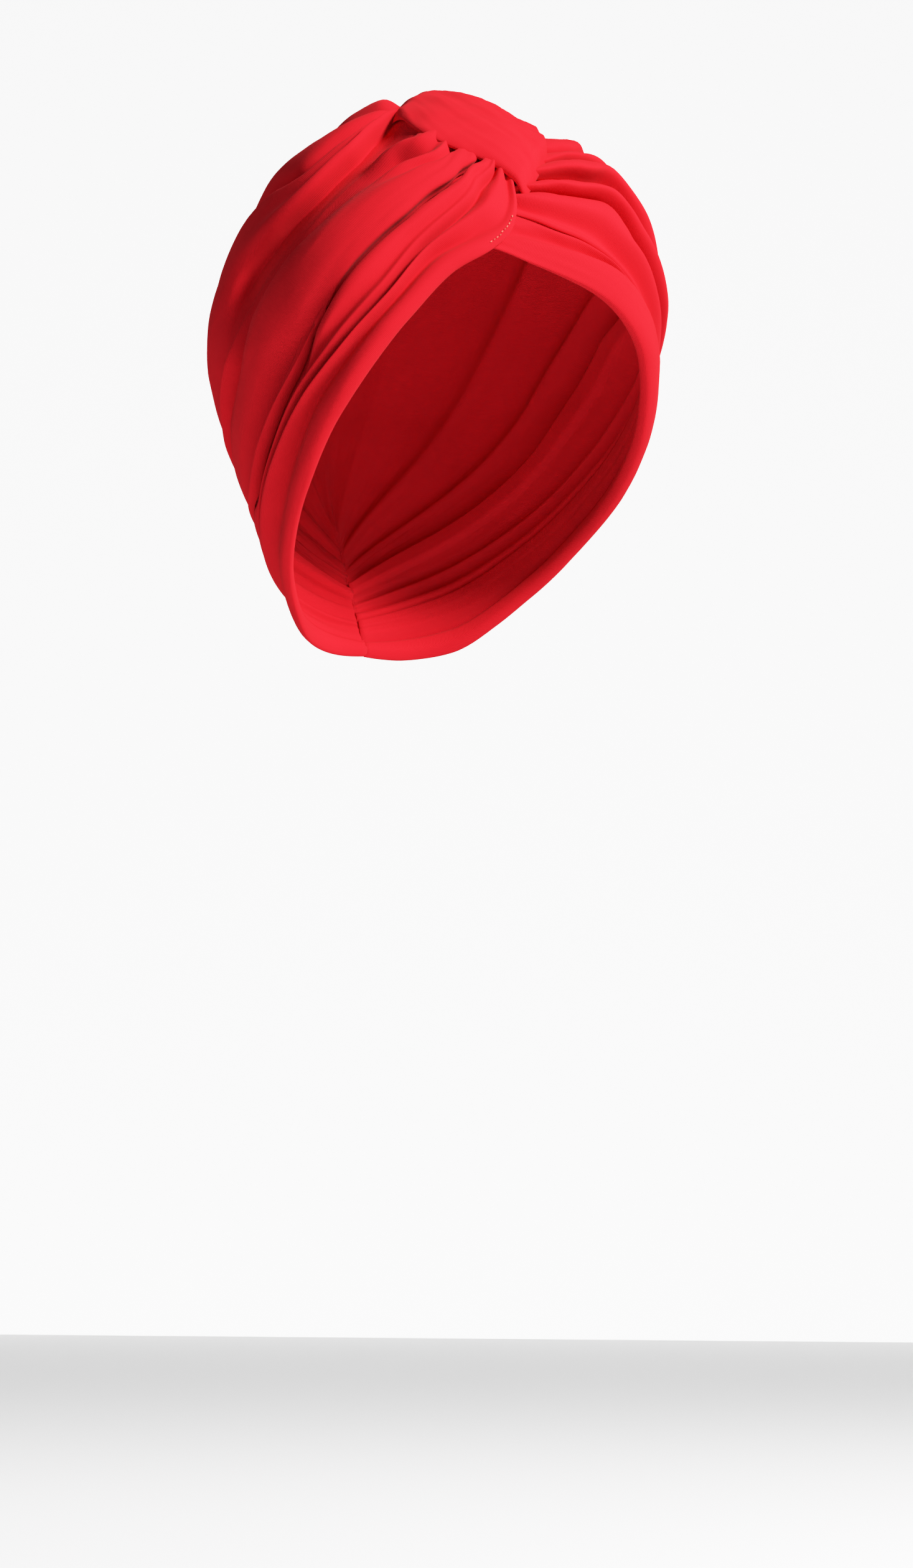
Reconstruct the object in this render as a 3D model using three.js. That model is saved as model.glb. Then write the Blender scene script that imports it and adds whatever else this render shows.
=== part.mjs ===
// Turban headwrap of stretch jersey, in the form it keeps on a head.
// Millimetres, +Z up, +Y to the back of the head, -X to the wearer's right.
// The origin is the highest point inside the crown, where the top of a head meets it.
import * as THREE from 'three';

// The head form inside the wrap, measured from its widest level
const HEAD_WIDTH = 148;
const FOREHEAD_DEPTH = 84;
const BACK_DEPTH = 94;
const CROWN_RISE = 96;
const NAPE_DROP = 130;
const ROUNDNESS = 2.15;

// Cloth and how its layers lie on each other
const CLOTH_WALL = 1.6;
const SKIN_GAP = 0.2;
const LAYER_GAP = 0.6;
const BACK_SEAM_GAP = 0.6;

// Height of the tallest folds and of the knot band over the cloth that lies flat
const FOLD_RELIEF = 8;
const BAND_RELIEF = 10;

// How finely the faceted cloth is divided
const DRAPE_COLUMNS = 36;
const FRONT_CROWDING = 0.3;
const BAND_COLUMNS = 13;
const STEEPEST_LEAN = 1.7;

// Below its widest level the head narrows to the nape: drop is a share of NAPE_DROP,
// width a share of the section at the widest level
const NARROWING = [
  { drop: 0, width: 1 },
  { drop: 0.154, width: 0.965 },
  { drop: 0.308, width: 0.905 },
  { drop: 0.515, width: 0.785 },
  { drop: 0.723, width: 0.64 },
  { drop: 1, width: 0.5 },
];

// The lines that every fold lies between, in degrees round and above the head's centre.
// path runs from the knot (0) to the centre back (1), turn from the forehead (0) to the back (180).
// hem is the edge round the face, side the swell over the ear, crest the line over the top of the head.
const RIGHT_GUIDES = [
  { path: 0, hemTurn: 9.5, hemRise: 48, sideTurn: 38, sideRise: 56, crestRise: 89 },
  { path: 0.05, hemTurn: 9.6, hemRise: 32, sideTurn: 52, sideRise: 47, crestRise: 84 },
  { path: 0.08, hemTurn: 11.5, hemRise: 24.5, sideTurn: 57, sideRise: 44.5, crestRise: 81 },
  { path: 0.12, hemTurn: 16.3, hemRise: 19.6, sideTurn: 63, sideRise: 41.5, crestRise: 76.5 },
  { path: 0.18, hemTurn: 26.5, hemRise: 13.6, sideTurn: 70, sideRise: 37.5, crestRise: 70 },
  { path: 0.25, hemTurn: 37.5, hemRise: 2.2, sideTurn: 78, sideRise: 32, crestRise: 62 },
  { path: 0.4, hemTurn: 58.4, hemRise: -20.9, sideTurn: 93, sideRise: 22, crestRise: 48 },
  { path: 0.55, hemTurn: 79.5, hemRise: -40, sideTurn: 109, sideRise: 8, crestRise: 31 },
  { path: 0.7, hemTurn: 108, hemRise: -53.7, sideTurn: 127, sideRise: -8, crestRise: 11 },
  { path: 0.85, hemTurn: 145, hemRise: -61.5, sideTurn: 151, sideRise: -24, crestRise: -10 },
  { path: 1, hemTurn: 180, hemRise: -61, sideTurn: 180, sideRise: -42, crestRise: -30 },
];

// On the wearer's left the cloth starts under the right drape, so only the front differs
const LEFT_GUIDES = [
  { path: 0, hemTurn: -23, hemRise: 22, sideTurn: 34, sideRise: 57, crestRise: 89 },
  { path: 0.05, hemTurn: -14, hemRise: 19.6, sideTurn: 46, sideRise: 51, crestRise: 84 },
  { path: 0.08, hemTurn: -7, hemRise: 17.3, sideTurn: 52, sideRise: 47.5, crestRise: 81 },
  { path: 0.12, hemTurn: 1.5, hemRise: 14.9, sideTurn: 59, sideRise: 43.5, crestRise: 76.5 },
  { path: 0.18, hemTurn: 14, hemRise: 11.3, sideTurn: 68, sideRise: 38.5, crestRise: 70 },
  { path: 0.25, hemTurn: 28, hemRise: 4.2, sideTurn: 78, sideRise: 32, crestRise: 62 },
  { path: 0.4, hemTurn: 56, hemRise: -22, sideTurn: 93, sideRise: 22, crestRise: 48 },
  ...RIGHT_GUIDES.slice(7),
];

// How far the side guide pulls the lines between hem and crest outwards
const SIDE_PULL = 1.1;

// Fold tables. Each row is one line of the cloth from the knot to the centre back, at these paths.
// at: its place between the hem (0) and the crest line (1).
// over: how many layers of cloth it lies over. rise: its height as a share of FOLD_RELIEF.
// kind: a crest or hollow is rounded, a crease is sharp. strips: facets up to the next row.
const STATIONS = [0, 0.05, 0.12, 0.25, 0.4, 0.55, 0.7, 0.85, 1];

const RIGHT_DRAPE = [
  { name: 'hem edge', kind: 'crease', strips: 1,
    at: [0, 0, 0, 0, 0, 0, 0, 0, 0],
    over: [1.6, 2, 1, 0, 0, 0, 0, 0, 0],
    rise: [0, 0, 0.02, 0.18, 0.18, 0.18, 0.2, 0.2, 0.2] },
  { name: 'hem roll', kind: 'crest', strips: 1,
    at: [0.014, 0.014, 0.018, 0.018, 0.022, 0.022, 0.018, 0.022, 0.025],
    over: [1.6, 2, 1, 0, 0, 0, 0, 0, 0],
    rise: [0.02, 0.12, 0.22, 0.42, 0.45, 0.42, 0.38, 0.36, 0.36] },
  { name: 'hem dip', kind: 'hollow', strips: 1,
    at: [0.03, 0.032, 0.05, 0.042, 0.055, 0.065, 0.07, 0.07, 0.07],
    over: [1.6, 2, 1, 0, 0, 0, 0, 0, 0],
    rise: [0, 0, 0.1, 0.24, 0.2, 0.18, 0.2, 0.18, 0.18] },
  { name: 'low ridge', kind: 'crest', strips: 1,
    at: [0.048, 0.065, 0.088, 0.06, 0.088, 0.108, 0.112, 0.118, 0.12],
    over: [1.6, 2, 1, 0, 0, 0, 0, 0, 0],
    rise: [0.02, 0.08, 0.2, 0.42, 0.44, 0.34, 0.34, 0.3, 0.28] },
  { name: 'low crease', kind: 'crease', strips: 1,
    at: [0.06, 0.085, 0.112, 0.076, 0.105, 0.12, 0.13, 0.142, 0.15],
    over: [1.4, 1.4, 1, 0, 0, 0, 0, 0, 0],
    rise: [0, 0, 0.04, 0.12, 0.12, 0.24, 0.2, 0.16, 0.14] },
  { name: 'upper ridge', kind: 'crest', strips: 1,
    at: [0.072, 0.1, 0.13, 0.096, 0.122, 0.13, 0.146, 0.165, 0.18],
    over: [1.4, 1.4, 1, 0, 0, 0, 0, 0, 0],
    rise: [0.02, 0.16, 0.28, 0.5, 0.52, 0.52, 0.38, 0.34, 0.32] },
  { name: 'middle roll', kind: 'crest', strips: 2,
    at: [0.095, 0.13, 0.165, 0.142, 0.142, 0.146, 0.205, 0.25, 0.28],
    over: [1, 1, 0.6, 0, 0, 0, 0, 0, 0],
    rise: [0.1, 0.32, 0.48, 0.56, 0.42, 0.3, 0.48, 0.52, 0.44] },
  { name: 'fold under the crown', kind: 'crease', strips: 1,
    at: [0.125, 0.175, 0.2, 0.178, 0.168, 0.178, 0.268, 0.335, 0.375],
    over: [0, 0, 0, 0, 0, 0, 0, 0, 0],
    rise: [0, 0, 0, 0, 0, 0, 0, 0, 0] },
  { name: 'upper margin', kind: 'crease', strips: 0,
    at: [0.16, 0.215, 0.245, 0.222, 0.215, 0.228, 0.33, 0.4, 0.44],
    over: [0, 0, 0, 0, 0, 0, 0, 0, 0],
    rise: [0, 0, 0, 0, 0, 0, 0, 0, 0] },
];

const LEFT_FRONT_BAND = [
  { name: 'hem edge', kind: 'crease', strips: 1,
    at: [0, 0, 0, 0, 0, 0, 0, 0, 0],
    over: [0, 0, 0, 0, 0, 0, 0, 0, 0],
    rise: [0, 0, 0.08, 0.16, 0.2, 0.2, 0.2, 0.2, 0.2] },
  { name: 'hem roll', kind: 'crest', strips: 1,
    at: [0.02, 0.02, 0.022, 0.022, 0.022, 0.022, 0.018, 0.022, 0.025],
    over: [0, 0, 0, 0, 0, 0, 0, 0, 0],
    rise: [0, 0.02, 0.22, 0.32, 0.46, 0.42, 0.38, 0.36, 0.36] },
  { name: 'hem flat', kind: 'hollow', strips: 1,
    at: [0.05, 0.045, 0.055, 0.06, 0.06, 0.065, 0.07, 0.07, 0.07],
    over: [0, 0, 0, 0, 0, 0, 0, 0, 0],
    rise: [0, 0.02, 0.18, 0.22, 0.3, 0.24, 0.2, 0.18, 0.18] },
  { name: 'dip under the seam', kind: 'hollow', strips: 1,
    at: [0.08, 0.075, 0.092, 0.1, 0.095, 0.095, 0.1, 0.1, 0.1],
    over: [0, 0, 0, 0, 0, 0, 0, 0, 0],
    rise: [0, 0, 0.02, 0.04, 0.08, 0.08, 0.08, 0.06, 0.06] },
  { name: 'fold under the drape', kind: 'crease', strips: 1,
    at: [0.1, 0.095, 0.118, 0.12, 0.118, 0.118, 0.122, 0.122, 0.122],
    over: [0, 0, 0, 0, 0, 0, 0, 0, 0],
    rise: [0, 0, 0, 0, 0, 0, 0, 0, 0] },
  { name: 'upper margin', kind: 'crease', strips: 0,
    at: [0.115, 0.114, 0.155, 0.16, 0.158, 0.158, 0.162, 0.164, 0.165],
    over: [0, 0, 0, 0, 0, 0, 0, 0, 0],
    rise: [0, 0, 0, 0, 0, 0, 0, 0, 0] },
];

const LEFT_DRAPE = [
  { name: 'seam edge', kind: 'crease', strips: 1,
    at: [0.13, 0.118, 0.13, 0.132, 0.13, 0.13, 0.134, 0.134, 0.134],
    over: [0, 1, 1, 1, 1, 1, 1, 1, 1],
    rise: [0, 0, 0, 0, 0, 0, 0, 0, 0] },
  { name: 'seam roll', kind: 'crest', strips: 1,
    at: [0.14, 0.132, 0.15, 0.152, 0.15, 0.15, 0.156, 0.16, 0.16],
    over: [0, 1, 1, 1, 1, 1, 1, 1, 1],
    rise: [0, 0.04, 0.12, 0.24, 0.24, 0.2, 0.14, 0.1, 0.08] },
  { name: 'dip over the seam', kind: 'hollow', strips: 1,
    at: [0.15, 0.158, 0.19, 0.172, 0.185, 0.185, 0.19, 0.195, 0.195],
    over: [0, 0.6, 0.8, 1, 0.8, 0.8, 0.8, 0.8, 0.8],
    rise: [0, 0.04, 0.08, 0.1, 0.06, 0.02, 0, 0, 0] },
  { name: 'short ridge', kind: 'crest', strips: 1,
    at: [0.16, 0.185, 0.232, 0.2, 0.215, 0.215, 0.215, 0.22, 0.225],
    over: [0, 0, 0, 0, 0, 0, 0, 0, 0],
    rise: [0.02, 0.2, 0.52, 0.42, 0.4, 0.4, 0.36, 0.34, 0.32] },
  { name: 'short hollow', kind: 'hollow', strips: 1,
    at: [0.172, 0.208, 0.275, 0.235, 0.255, 0.25, 0.25, 0.26, 0.27],
    over: [0, 0, 0, 0, 0, 0, 0, 0, 0],
    rise: [0, 0.1, 0.12, 0.18, 0.22, 0.22, 0.18, 0.16, 0.14] },
  { name: 'middle ridge', kind: 'crest', strips: 2,
    at: [0.185, 0.238, 0.335, 0.32, 0.33, 0.31, 0.3, 0.315, 0.325],
    over: [0, 0, 0, 0, 0, 0, 0, 0, 0],
    rise: [0.02, 0.28, 0.62, 0.66, 0.58, 0.5, 0.46, 0.42, 0.38] },
  { name: 'fold under the crown', kind: 'crease', strips: 1,
    at: [0.202, 0.282, 0.395, 0.415, 0.41, 0.375, 0.355, 0.36, 0.375],
    over: [0, 0, 0, 0, 0, 0, 0, 0, 0],
    rise: [0, 0, 0, 0, 0, 0, 0, 0, 0] },
  { name: 'upper margin', kind: 'crease', strips: 0,
    at: [0.235, 0.33, 0.44, 0.465, 0.46, 0.425, 0.41, 0.42, 0.44],
    over: [0, 0, 0, 0, 0, 0, 0, 0, 0],
    rise: [0, 0, 0, 0, 0, 0, 0, 0, 0] },
];

const CROWN_RIGHT = [
  { name: 'lower edge', kind: 'crease', strips: 1,
    at: [0.132, 0.184, 0.21, 0.19, 0.18, 0.19, 0.282, 0.352, 0.395],
    over: [1, 1, 1, 1, 1, 1, 1, 1, 1],
    rise: [0, 0, 0.06, 0.06, 0.04, 0, 0, 0, 0] },
  { name: 'lower roll', kind: 'crest', strips: 2,
    at: [0.145, 0.2, 0.23, 0.206, 0.194, 0.204, 0.3, 0.37, 0.415],
    over: [1, 1, 1, 1, 1, 1, 1, 1, 1],
    rise: [0.04, 0.26, 0.5, 0.5, 0.42, 0.3, 0.12, 0.1, 0.1] },
  { name: 'big roll', kind: 'crest', strips: 1,
    at: [0.185, 0.26, 0.285, 0.272, 0.29, 0.28, 0.36, 0.44, 0.475],
    over: [0, 0, 0, 0, 0, 0, 0, 0, 0],
    rise: [0.3, 0.54, 0.82, 0.8, 0.7, 0.56, 0.2, 0.24, 0.26] },
  { name: 'dark notch', kind: 'crease', strips: 1,
    at: [0.225, 0.315, 0.345, 0.33, 0.335, 0.32, 0.39, 0.47, 0.51],
    over: [0, 0, 0, 0, 0, 0, 0, 0, 0],
    rise: [0.06, 0.12, 0.6, 0.66, 0.6, 0.5, 0.16, 0.14, 0.14] },
  { name: 'slant ridge', kind: 'crest', strips: 1,
    at: [0.275, 0.375, 0.415, 0.362, 0.362, 0.35, 0.41, 0.495, 0.545],
    over: [0, 0, 0, 0, 0, 0, 0, 0, 0],
    rise: [0.28, 0.56, 0.66, 0.42, 0.42, 0.44, 0.14, 0.2, 0.26] },
  { name: 'broad hollow', kind: 'hollow', strips: 1,
    at: [0.35, 0.475, 0.49, 0.41, 0.402, 0.385, 0.435, 0.52, 0.575],
    over: [0, 0, 0, 0, 0, 0, 0, 0, 0],
    rise: [0.12, 0.2, 0.24, 0.26, 0.28, 0.4, 0.12, 0.12, 0.14] },
  { name: 'side ridge', kind: 'crest', strips: 1,
    at: [0.42, 0.52, 0.53, 0.455, 0.48, 0.43, 0.455, 0.545, 0.61],
    over: [0, 0, 0, 0, 0, 0, 0, 0, 0],
    rise: [0.16, 0.3, 0.3, 0.36, 0.4, 0.66, 0.12, 0.2, 0.26] },
  { name: 'side pouf', kind: 'crest', strips: 1,
    at: [0.47, 0.56, 0.575, 0.495, 0.53, 0.56, 0.52, 0.58, 0.64],
    over: [0, 0, 0, 0, 0, 0, 0, 0, 0],
    rise: [0.2, 0.4, 0.5, 0.5, 0.44, 0.94, 0.2, 0.26, 0.18] },
  { name: 'long ridge', kind: 'crest', strips: 1,
    at: [0.54, 0.62, 0.65, 0.542, 0.574, 0.635, 0.61, 0.64, 0.68],
    over: [0, 0, 0, 0, 0, 0, 0, 0, 0],
    rise: [0.24, 0.46, 0.8, 0.84, 0.76, 0.66, 0.34, 0.36, 0.26] },
  { name: 'crease behind it', kind: 'crease', strips: 1,
    at: [0.565, 0.645, 0.672, 0.57, 0.605, 0.67, 0.66, 0.68, 0.715],
    over: [0, 0, 0, 0, 0, 0, 0, 0, 0],
    rise: [0.12, 0.26, 0.42, 0.34, 0.28, 0.22, 0.2, 0.22, 0.16] },
  { name: 'third pouf', kind: 'crest', strips: 1,
    at: [0.59, 0.67, 0.692, 0.612, 0.685, 0.73, 0.72, 0.74, 0.76],
    over: [0, 0, 0, 0, 0, 0, 0, 0, 0],
    rise: [0.2, 0.36, 0.66, 0.74, 0.9, 0.66, 0.5, 0.42, 0.3] },
  { name: 'crease above it', kind: 'crease', strips: 1,
    at: [0.615, 0.695, 0.71, 0.655, 0.725, 0.775, 0.77, 0.79, 0.8],
    over: [0, 0, 0, 0, 0, 0, 0, 0, 0],
    rise: [0.1, 0.22, 0.44, 0.36, 0.38, 0.34, 0.3, 0.26, 0.18] },
  { name: 'second pouf', kind: 'crest', strips: 1,
    at: [0.65, 0.72, 0.73, 0.71, 0.775, 0.82, 0.82, 0.84, 0.85],
    over: [0, 0, 0, 0, 0, 0, 0, 0, 0],
    rise: [0.12, 0.26, 0.62, 0.82, 0.8, 0.6, 0.5, 0.42, 0.32] },
  { name: 'crease by the top', kind: 'crease', strips: 1,
    at: [0.69, 0.75, 0.752, 0.762, 0.83, 0.87, 0.88, 0.89, 0.9],
    over: [0, 0, 0, 0, 0, 0, 0, 0, 0],
    rise: [0.06, 0.14, 0.5, 0.46, 0.46, 0.4, 0.34, 0.3, 0.22] },
  { name: 'top pouf', kind: 'crest', strips: 2,
    at: [0.76, 0.81, 0.81, 0.84, 0.89, 0.93, 0.94, 0.945, 0.95],
    over: [0, 0, 0, 0, 0, 0, 0, 0, 0],
    rise: [0.08, 0.16, 0.98, 0.84, 0.7, 0.58, 0.5, 0.42, 0.34] },
];

const CREST_LINE = { name: 'crest line', kind: 'hollow', strips: 2,
  at: [1, 1, 1, 1, 1, 1, 1, 1, 1],
  over: [0, 0, 0, 0, 0, 0, 0, 0, 0],
  rise: [0.06, 0.12, 0.66, 0.7, 0.56, 0.46, 0.42, 0.36, 0.3] };

const CROWN_LEFT = [
  { name: 'lower edge', kind: 'crease', strips: 1,
    at: [0.21, 0.292, 0.41, 0.432, 0.425, 0.39, 0.37, 0.376, 0.395],
    over: [1, 1, 1, 1, 1, 1, 1, 1, 1],
    rise: [0, 0, 0.04, 0.04, 0.04, 0, 0, 0, 0] },
  { name: 'lower roll', kind: 'crest', strips: 1,
    at: [0.22, 0.305, 0.428, 0.45, 0.442, 0.405, 0.386, 0.395, 0.415],
    over: [1, 1, 1, 1, 1, 1, 1, 1, 1],
    rise: [0, 0.24, 0.46, 0.44, 0.36, 0.28, 0.16, 0.12, 0.1] },
  { name: 'big roll', kind: 'crest', strips: 2,
    at: [0.24, 0.335, 0.47, 0.5, 0.5, 0.46, 0.44, 0.455, 0.475],
    over: [1, 0, 0, 0, 0, 0, 0, 0, 0],
    rise: [0.02, 0.6, 0.8, 0.78, 0.66, 0.52, 0.36, 0.3, 0.26] },
  { name: 'pleat hollow', kind: 'hollow', strips: 1,
    at: [0.3, 0.395, 0.512, 0.56, 0.57, 0.54, 0.52, 0.53, 0.545],
    over: [0, 0, 0, 0, 0, 0, 0, 0, 0],
    rise: [0, 0.16, 0.3, 0.36, 0.34, 0.3, 0.24, 0.2, 0.16] },
  { name: 'pleat by the band', kind: 'crest', strips: 1,
    at: [0.36, 0.445, 0.56, 0.62, 0.64, 0.62, 0.6, 0.61, 0.62],
    over: [0, 0, 0, 0, 0, 0, 0, 0, 0],
    rise: [0, 0.36, 0.6, 0.7, 0.66, 0.56, 0.46, 0.38, 0.3] },
  { name: 'deep pleat', kind: 'crease', strips: 1,
    at: [0.43, 0.5, 0.6, 0.665, 0.7, 0.69, 0.68, 0.69, 0.7],
    over: [0, 0, 0, 0, 0, 0, 0, 0, 0],
    rise: [0, 0.06, 0.34, 0.38, 0.36, 0.32, 0.26, 0.22, 0.18] },
  { name: 'upper pleat', kind: 'crest', strips: 2,
    at: [0.52, 0.56, 0.66, 0.73, 0.77, 0.77, 0.76, 0.77, 0.78],
    over: [0, 0, 0, 0, 0, 0, 0, 0, 0],
    rise: [0, 0.1, 0.54, 0.74, 0.7, 0.58, 0.48, 0.42, 0.32] },
  { name: 'crease by the top', kind: 'crease', strips: 1,
    at: [0.64, 0.66, 0.74, 0.8, 0.85, 0.86, 0.86, 0.865, 0.87],
    over: [0, 0, 0, 0, 0, 0, 0, 0, 0],
    rise: [0, 0.04, 0.34, 0.44, 0.42, 0.38, 0.32, 0.28, 0.22] },
  { name: 'top pleat', kind: 'crest', strips: 2,
    at: [0.78, 0.78, 0.84, 0.88, 0.92, 0.93, 0.93, 0.935, 0.94],
    over: [0, 0, 0, 0, 0, 0, 0, 0, 0],
    rise: [0, 0.08, 0.62, 0.78, 0.66, 0.56, 0.48, 0.42, 0.34] },
];

// The knot band from its pinched front end (path 0) to its wide end on the crown (path 1):
// directions of the edge towards the wearer's right, of the middle and of the far edge
const BAND_GUIDES = [
  { path: 0, nearTurn: -6, nearRise: 33.6, midTurn: 0.5, midRise: 41, farTurn: 7, farRise: 47 },
  { path: 0.06, nearTurn: -9.6, nearRise: 36.8, midTurn: -1, midRise: 45.5, farTurn: 9, farRise: 52 },
  { path: 0.14, nearTurn: -14.5, nearRise: 40.3, midTurn: -2, midRise: 51, farTurn: 12, farRise: 57 },
  { path: 0.3, nearTurn: -24, nearRise: 44.6, midTurn: -3, midRise: 60, farTurn: 20, farRise: 61.5 },
  { path: 0.5, nearTurn: -35, nearRise: 50, midTurn: -2, midRise: 70, farTurn: 30, farRise: 65 },
  { path: 0.75, nearTurn: -47, nearRise: 59, midTurn: 0, midRise: 88, farTurn: 40, farRise: 67.5 },
  { path: 1, nearTurn: -58, nearRise: 64, midTurn: 0, midRise: 113, farTurn: 48, farRise: 69.5 },
];

// Ribs of the band along its length: across is the share of its width,
// rise its height along BAND_GUIDES' paths as a share of BAND_RELIEF
const BAND_RIBS = [
  { across: 0, rise: [0.42, 0.71, 0.72, 0.71, 0.72, 0.8, 0.8] },
  { across: 0.12, rise: [0.46, 0.77, 0.82, 0.84, 0.86, 0.92, 0.88] },
  { across: 0.3, rise: [0.48, 0.82, 0.92, 1, 1.02, 1.04, 0.98] },
  { across: 0.5, rise: [0.56, 0.84, 0.84, 0.82, 0.8, 0.86, 0.84] },
  { across: 0.66, rise: [0.6, 0.84, 0.74, 0.5, 0.42, 0.56, 0.66] },
  { across: 0.84, rise: [0.64, 0.82, 0.66, 0.44, 0.36, 0.44, 0.56] },
  { across: 1, rise: [0.66, 0.74, 0.56, 0.4, 0.34, 0.42, 0.5] },
];

// Monotone curve through the values at the stations
function through(stations, values, x) {
  const last = stations.length - 1;
  if (x <= stations[0]) return values[0];
  if (x >= stations[last]) return values[last];
  let i = 0;
  while (x > stations[i + 1]) i += 1;
  const span = (k) => stations[k + 1] - stations[k];
  const grade = (k) => (values[k + 1] - values[k]) / span(k);
  const slopeAt = (k) => {
    if (k === 0) return grade(0);
    if (k === last) return grade(last - 1);
    const before = grade(k - 1);
    const after = grade(k);
    if (before * after <= 0) return 0;
    const wa = 2 * span(k) + span(k - 1);
    const wb = span(k) + 2 * span(k - 1);
    return (wa + wb) / (wa / before + wb / after);
  };
  const s = (x - stations[i]) / span(i);
  const rest = 1 - s;
  return values[i] * rest * rest * (1 + 2 * s) + values[i + 1] * s * s * (3 - 2 * s)
    + span(i) * (slopeAt(i) * s * rest * rest - slopeAt(i + 1) * s * s * rest);
}

function column(table, name, x) {
  return through(table.map((row) => row.path), table.map((row) => row[name]), x);
}

// Direction from the head's centre: turn from the forehead towards +X, rise above the level
function direction(turn, rise) {
  const a = THREE.MathUtils.degToRad(turn);
  const e = THREE.MathUtils.degToRad(rise);
  return new THREE.Vector3(Math.sin(a) * Math.cos(e), -Math.cos(a) * Math.cos(e), Math.sin(e));
}

// Blends three directions: the ends at 0 and 1, the middle one pulling in between
function blend(first, pull, second, share, strength) {
  const rest = 1 - share;
  return new THREE.Vector3()
    .addScaledVector(first, rest * rest)
    .addScaledVector(pull, 2 * share * rest * strength)
    .addScaledVector(second, share * share)
    .normalize();
}

// Direction of a place on one side's folds: place 0 at the hem, 1 at the crest line
function foldDirection(side, place, path) {
  const guides = side < 0 ? RIGHT_GUIDES : LEFT_GUIDES;
  const hem = direction(column(guides, 'hemTurn', path), column(guides, 'hemRise', path));
  const swell = direction(column(guides, 'sideTurn', path), column(guides, 'sideRise', path));
  const crest = direction(180, column(guides, 'crestRise', path));
  const way = blend(hem, swell, crest, place, SIDE_PULL);
  way.x *= side;
  return way;
}

function bandDirection(across, path) {
  const near = direction(column(BAND_GUIDES, 'nearTurn', path), column(BAND_GUIDES, 'nearRise', path));
  const mid = direction(column(BAND_GUIDES, 'midTurn', path), column(BAND_GUIDES, 'midRise', path));
  const far = direction(column(BAND_GUIDES, 'farTurn', path), column(BAND_GUIDES, 'farRise', path));
  return blend(near, mid, far, across, 1);
}

// Distance from the head's centre to its surface along a direction
function headRadius(way) {
  const drops = NARROWING.map((row) => row.drop * NAPE_DROP);
  const widths = NARROWING.map((row) => row.width);
  const inside = (distance) => {
    const z = way.z * distance;
    const narrowed = through(drops, widths, Math.max(-z, 0));
    const depth = (way.y < 0 ? FOREHEAD_DEPTH : BACK_DEPTH) * narrowed;
    const sideways = Math.abs(way.x * distance) / (HEAD_WIDTH / 2 * narrowed);
    const lengthways = Math.abs(way.y * distance) / depth;
    const upwards = Math.max(z, 0) / CROWN_RISE;
    return sideways ** ROUNDNESS + lengthways ** ROUNDNESS + upwards ** ROUNDNESS < 1;
  };
  let low = 0;
  let high = HEAD_WIDTH + BACK_DEPTH + NAPE_DROP;
  for (let k = 0; k < 36; k += 1) {
    const middle = (low + high) / 2;
    if (inside(middle)) low = middle;
    else high = middle;
  }
  return low;
}

// Outer height over the head, and the lowest that the inner face may come
const layerFloor = (layers) => SKIN_GAP + layers * (CLOTH_WALL + LAYER_GAP);
const outerHeight = (layers, lift) => layerFloor(layers) + CLOTH_WALL + lift;

// Height profile between two rows: flat at a crest or hollow, steep at a crease
function ease(from, to, share) {
  const sharpStart = from === 'crease';
  const sharpEnd = to === 'crease';
  if (sharpStart && sharpEnd) return share;
  if (sharpStart) return 1 - (1 - share) ** 2;
  if (sharpEnd) return share ** 2;
  return share * share * (3 - 2 * share);
}

// Lays one side's fold rows out as lines of points; each line is { way, outer, floor } per column
function foldLines(side, rows, paths) {
  const lines = [];
  rows.forEach((row, i) => {
    const next = rows[i + 1];
    const strips = next ? row.strips : 1;
    for (let k = 0; k < strips; k += 1) {
      const share = k / strips;
      lines.push(paths.map((path) => {
        const value = (name, shareOfWay) => {
          const here = through(STATIONS, row[name], path);
          return next ? here + (through(STATIONS, next[name], path) - here) * shareOfWay : here;
        };
        const heightOf = (r) => outerHeight(through(STATIONS, r.over, path),
          through(STATIONS, r.rise, path) * FOLD_RELIEF);
        const start = heightOf(row);
        const outer = next ? start + (heightOf(next) - start) * ease(row.kind, next.kind, share) : start;
        return {
          way: foldDirection(side, value('at', share), path),
          outer,
          floor: layerFloor(value('over', share)),
        };
      }));
    }
  });
  return lines;
}

function bandLines() {
  const paths = BAND_GUIDES.map((row) => row.path);
  const columns = Array.from({ length: BAND_COLUMNS + 1 }, (_, j) => (j / BAND_COLUMNS) ** 1.3);
  return BAND_RIBS.map((rib) => columns.map((path) => ({
    way: bandDirection(rib.across, path),
    outer: SKIN_GAP + CLOTH_WALL + through(paths, rib.rise, path) * BAND_RELIEF,
    floor: SKIN_GAP,
  })));
}

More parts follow.
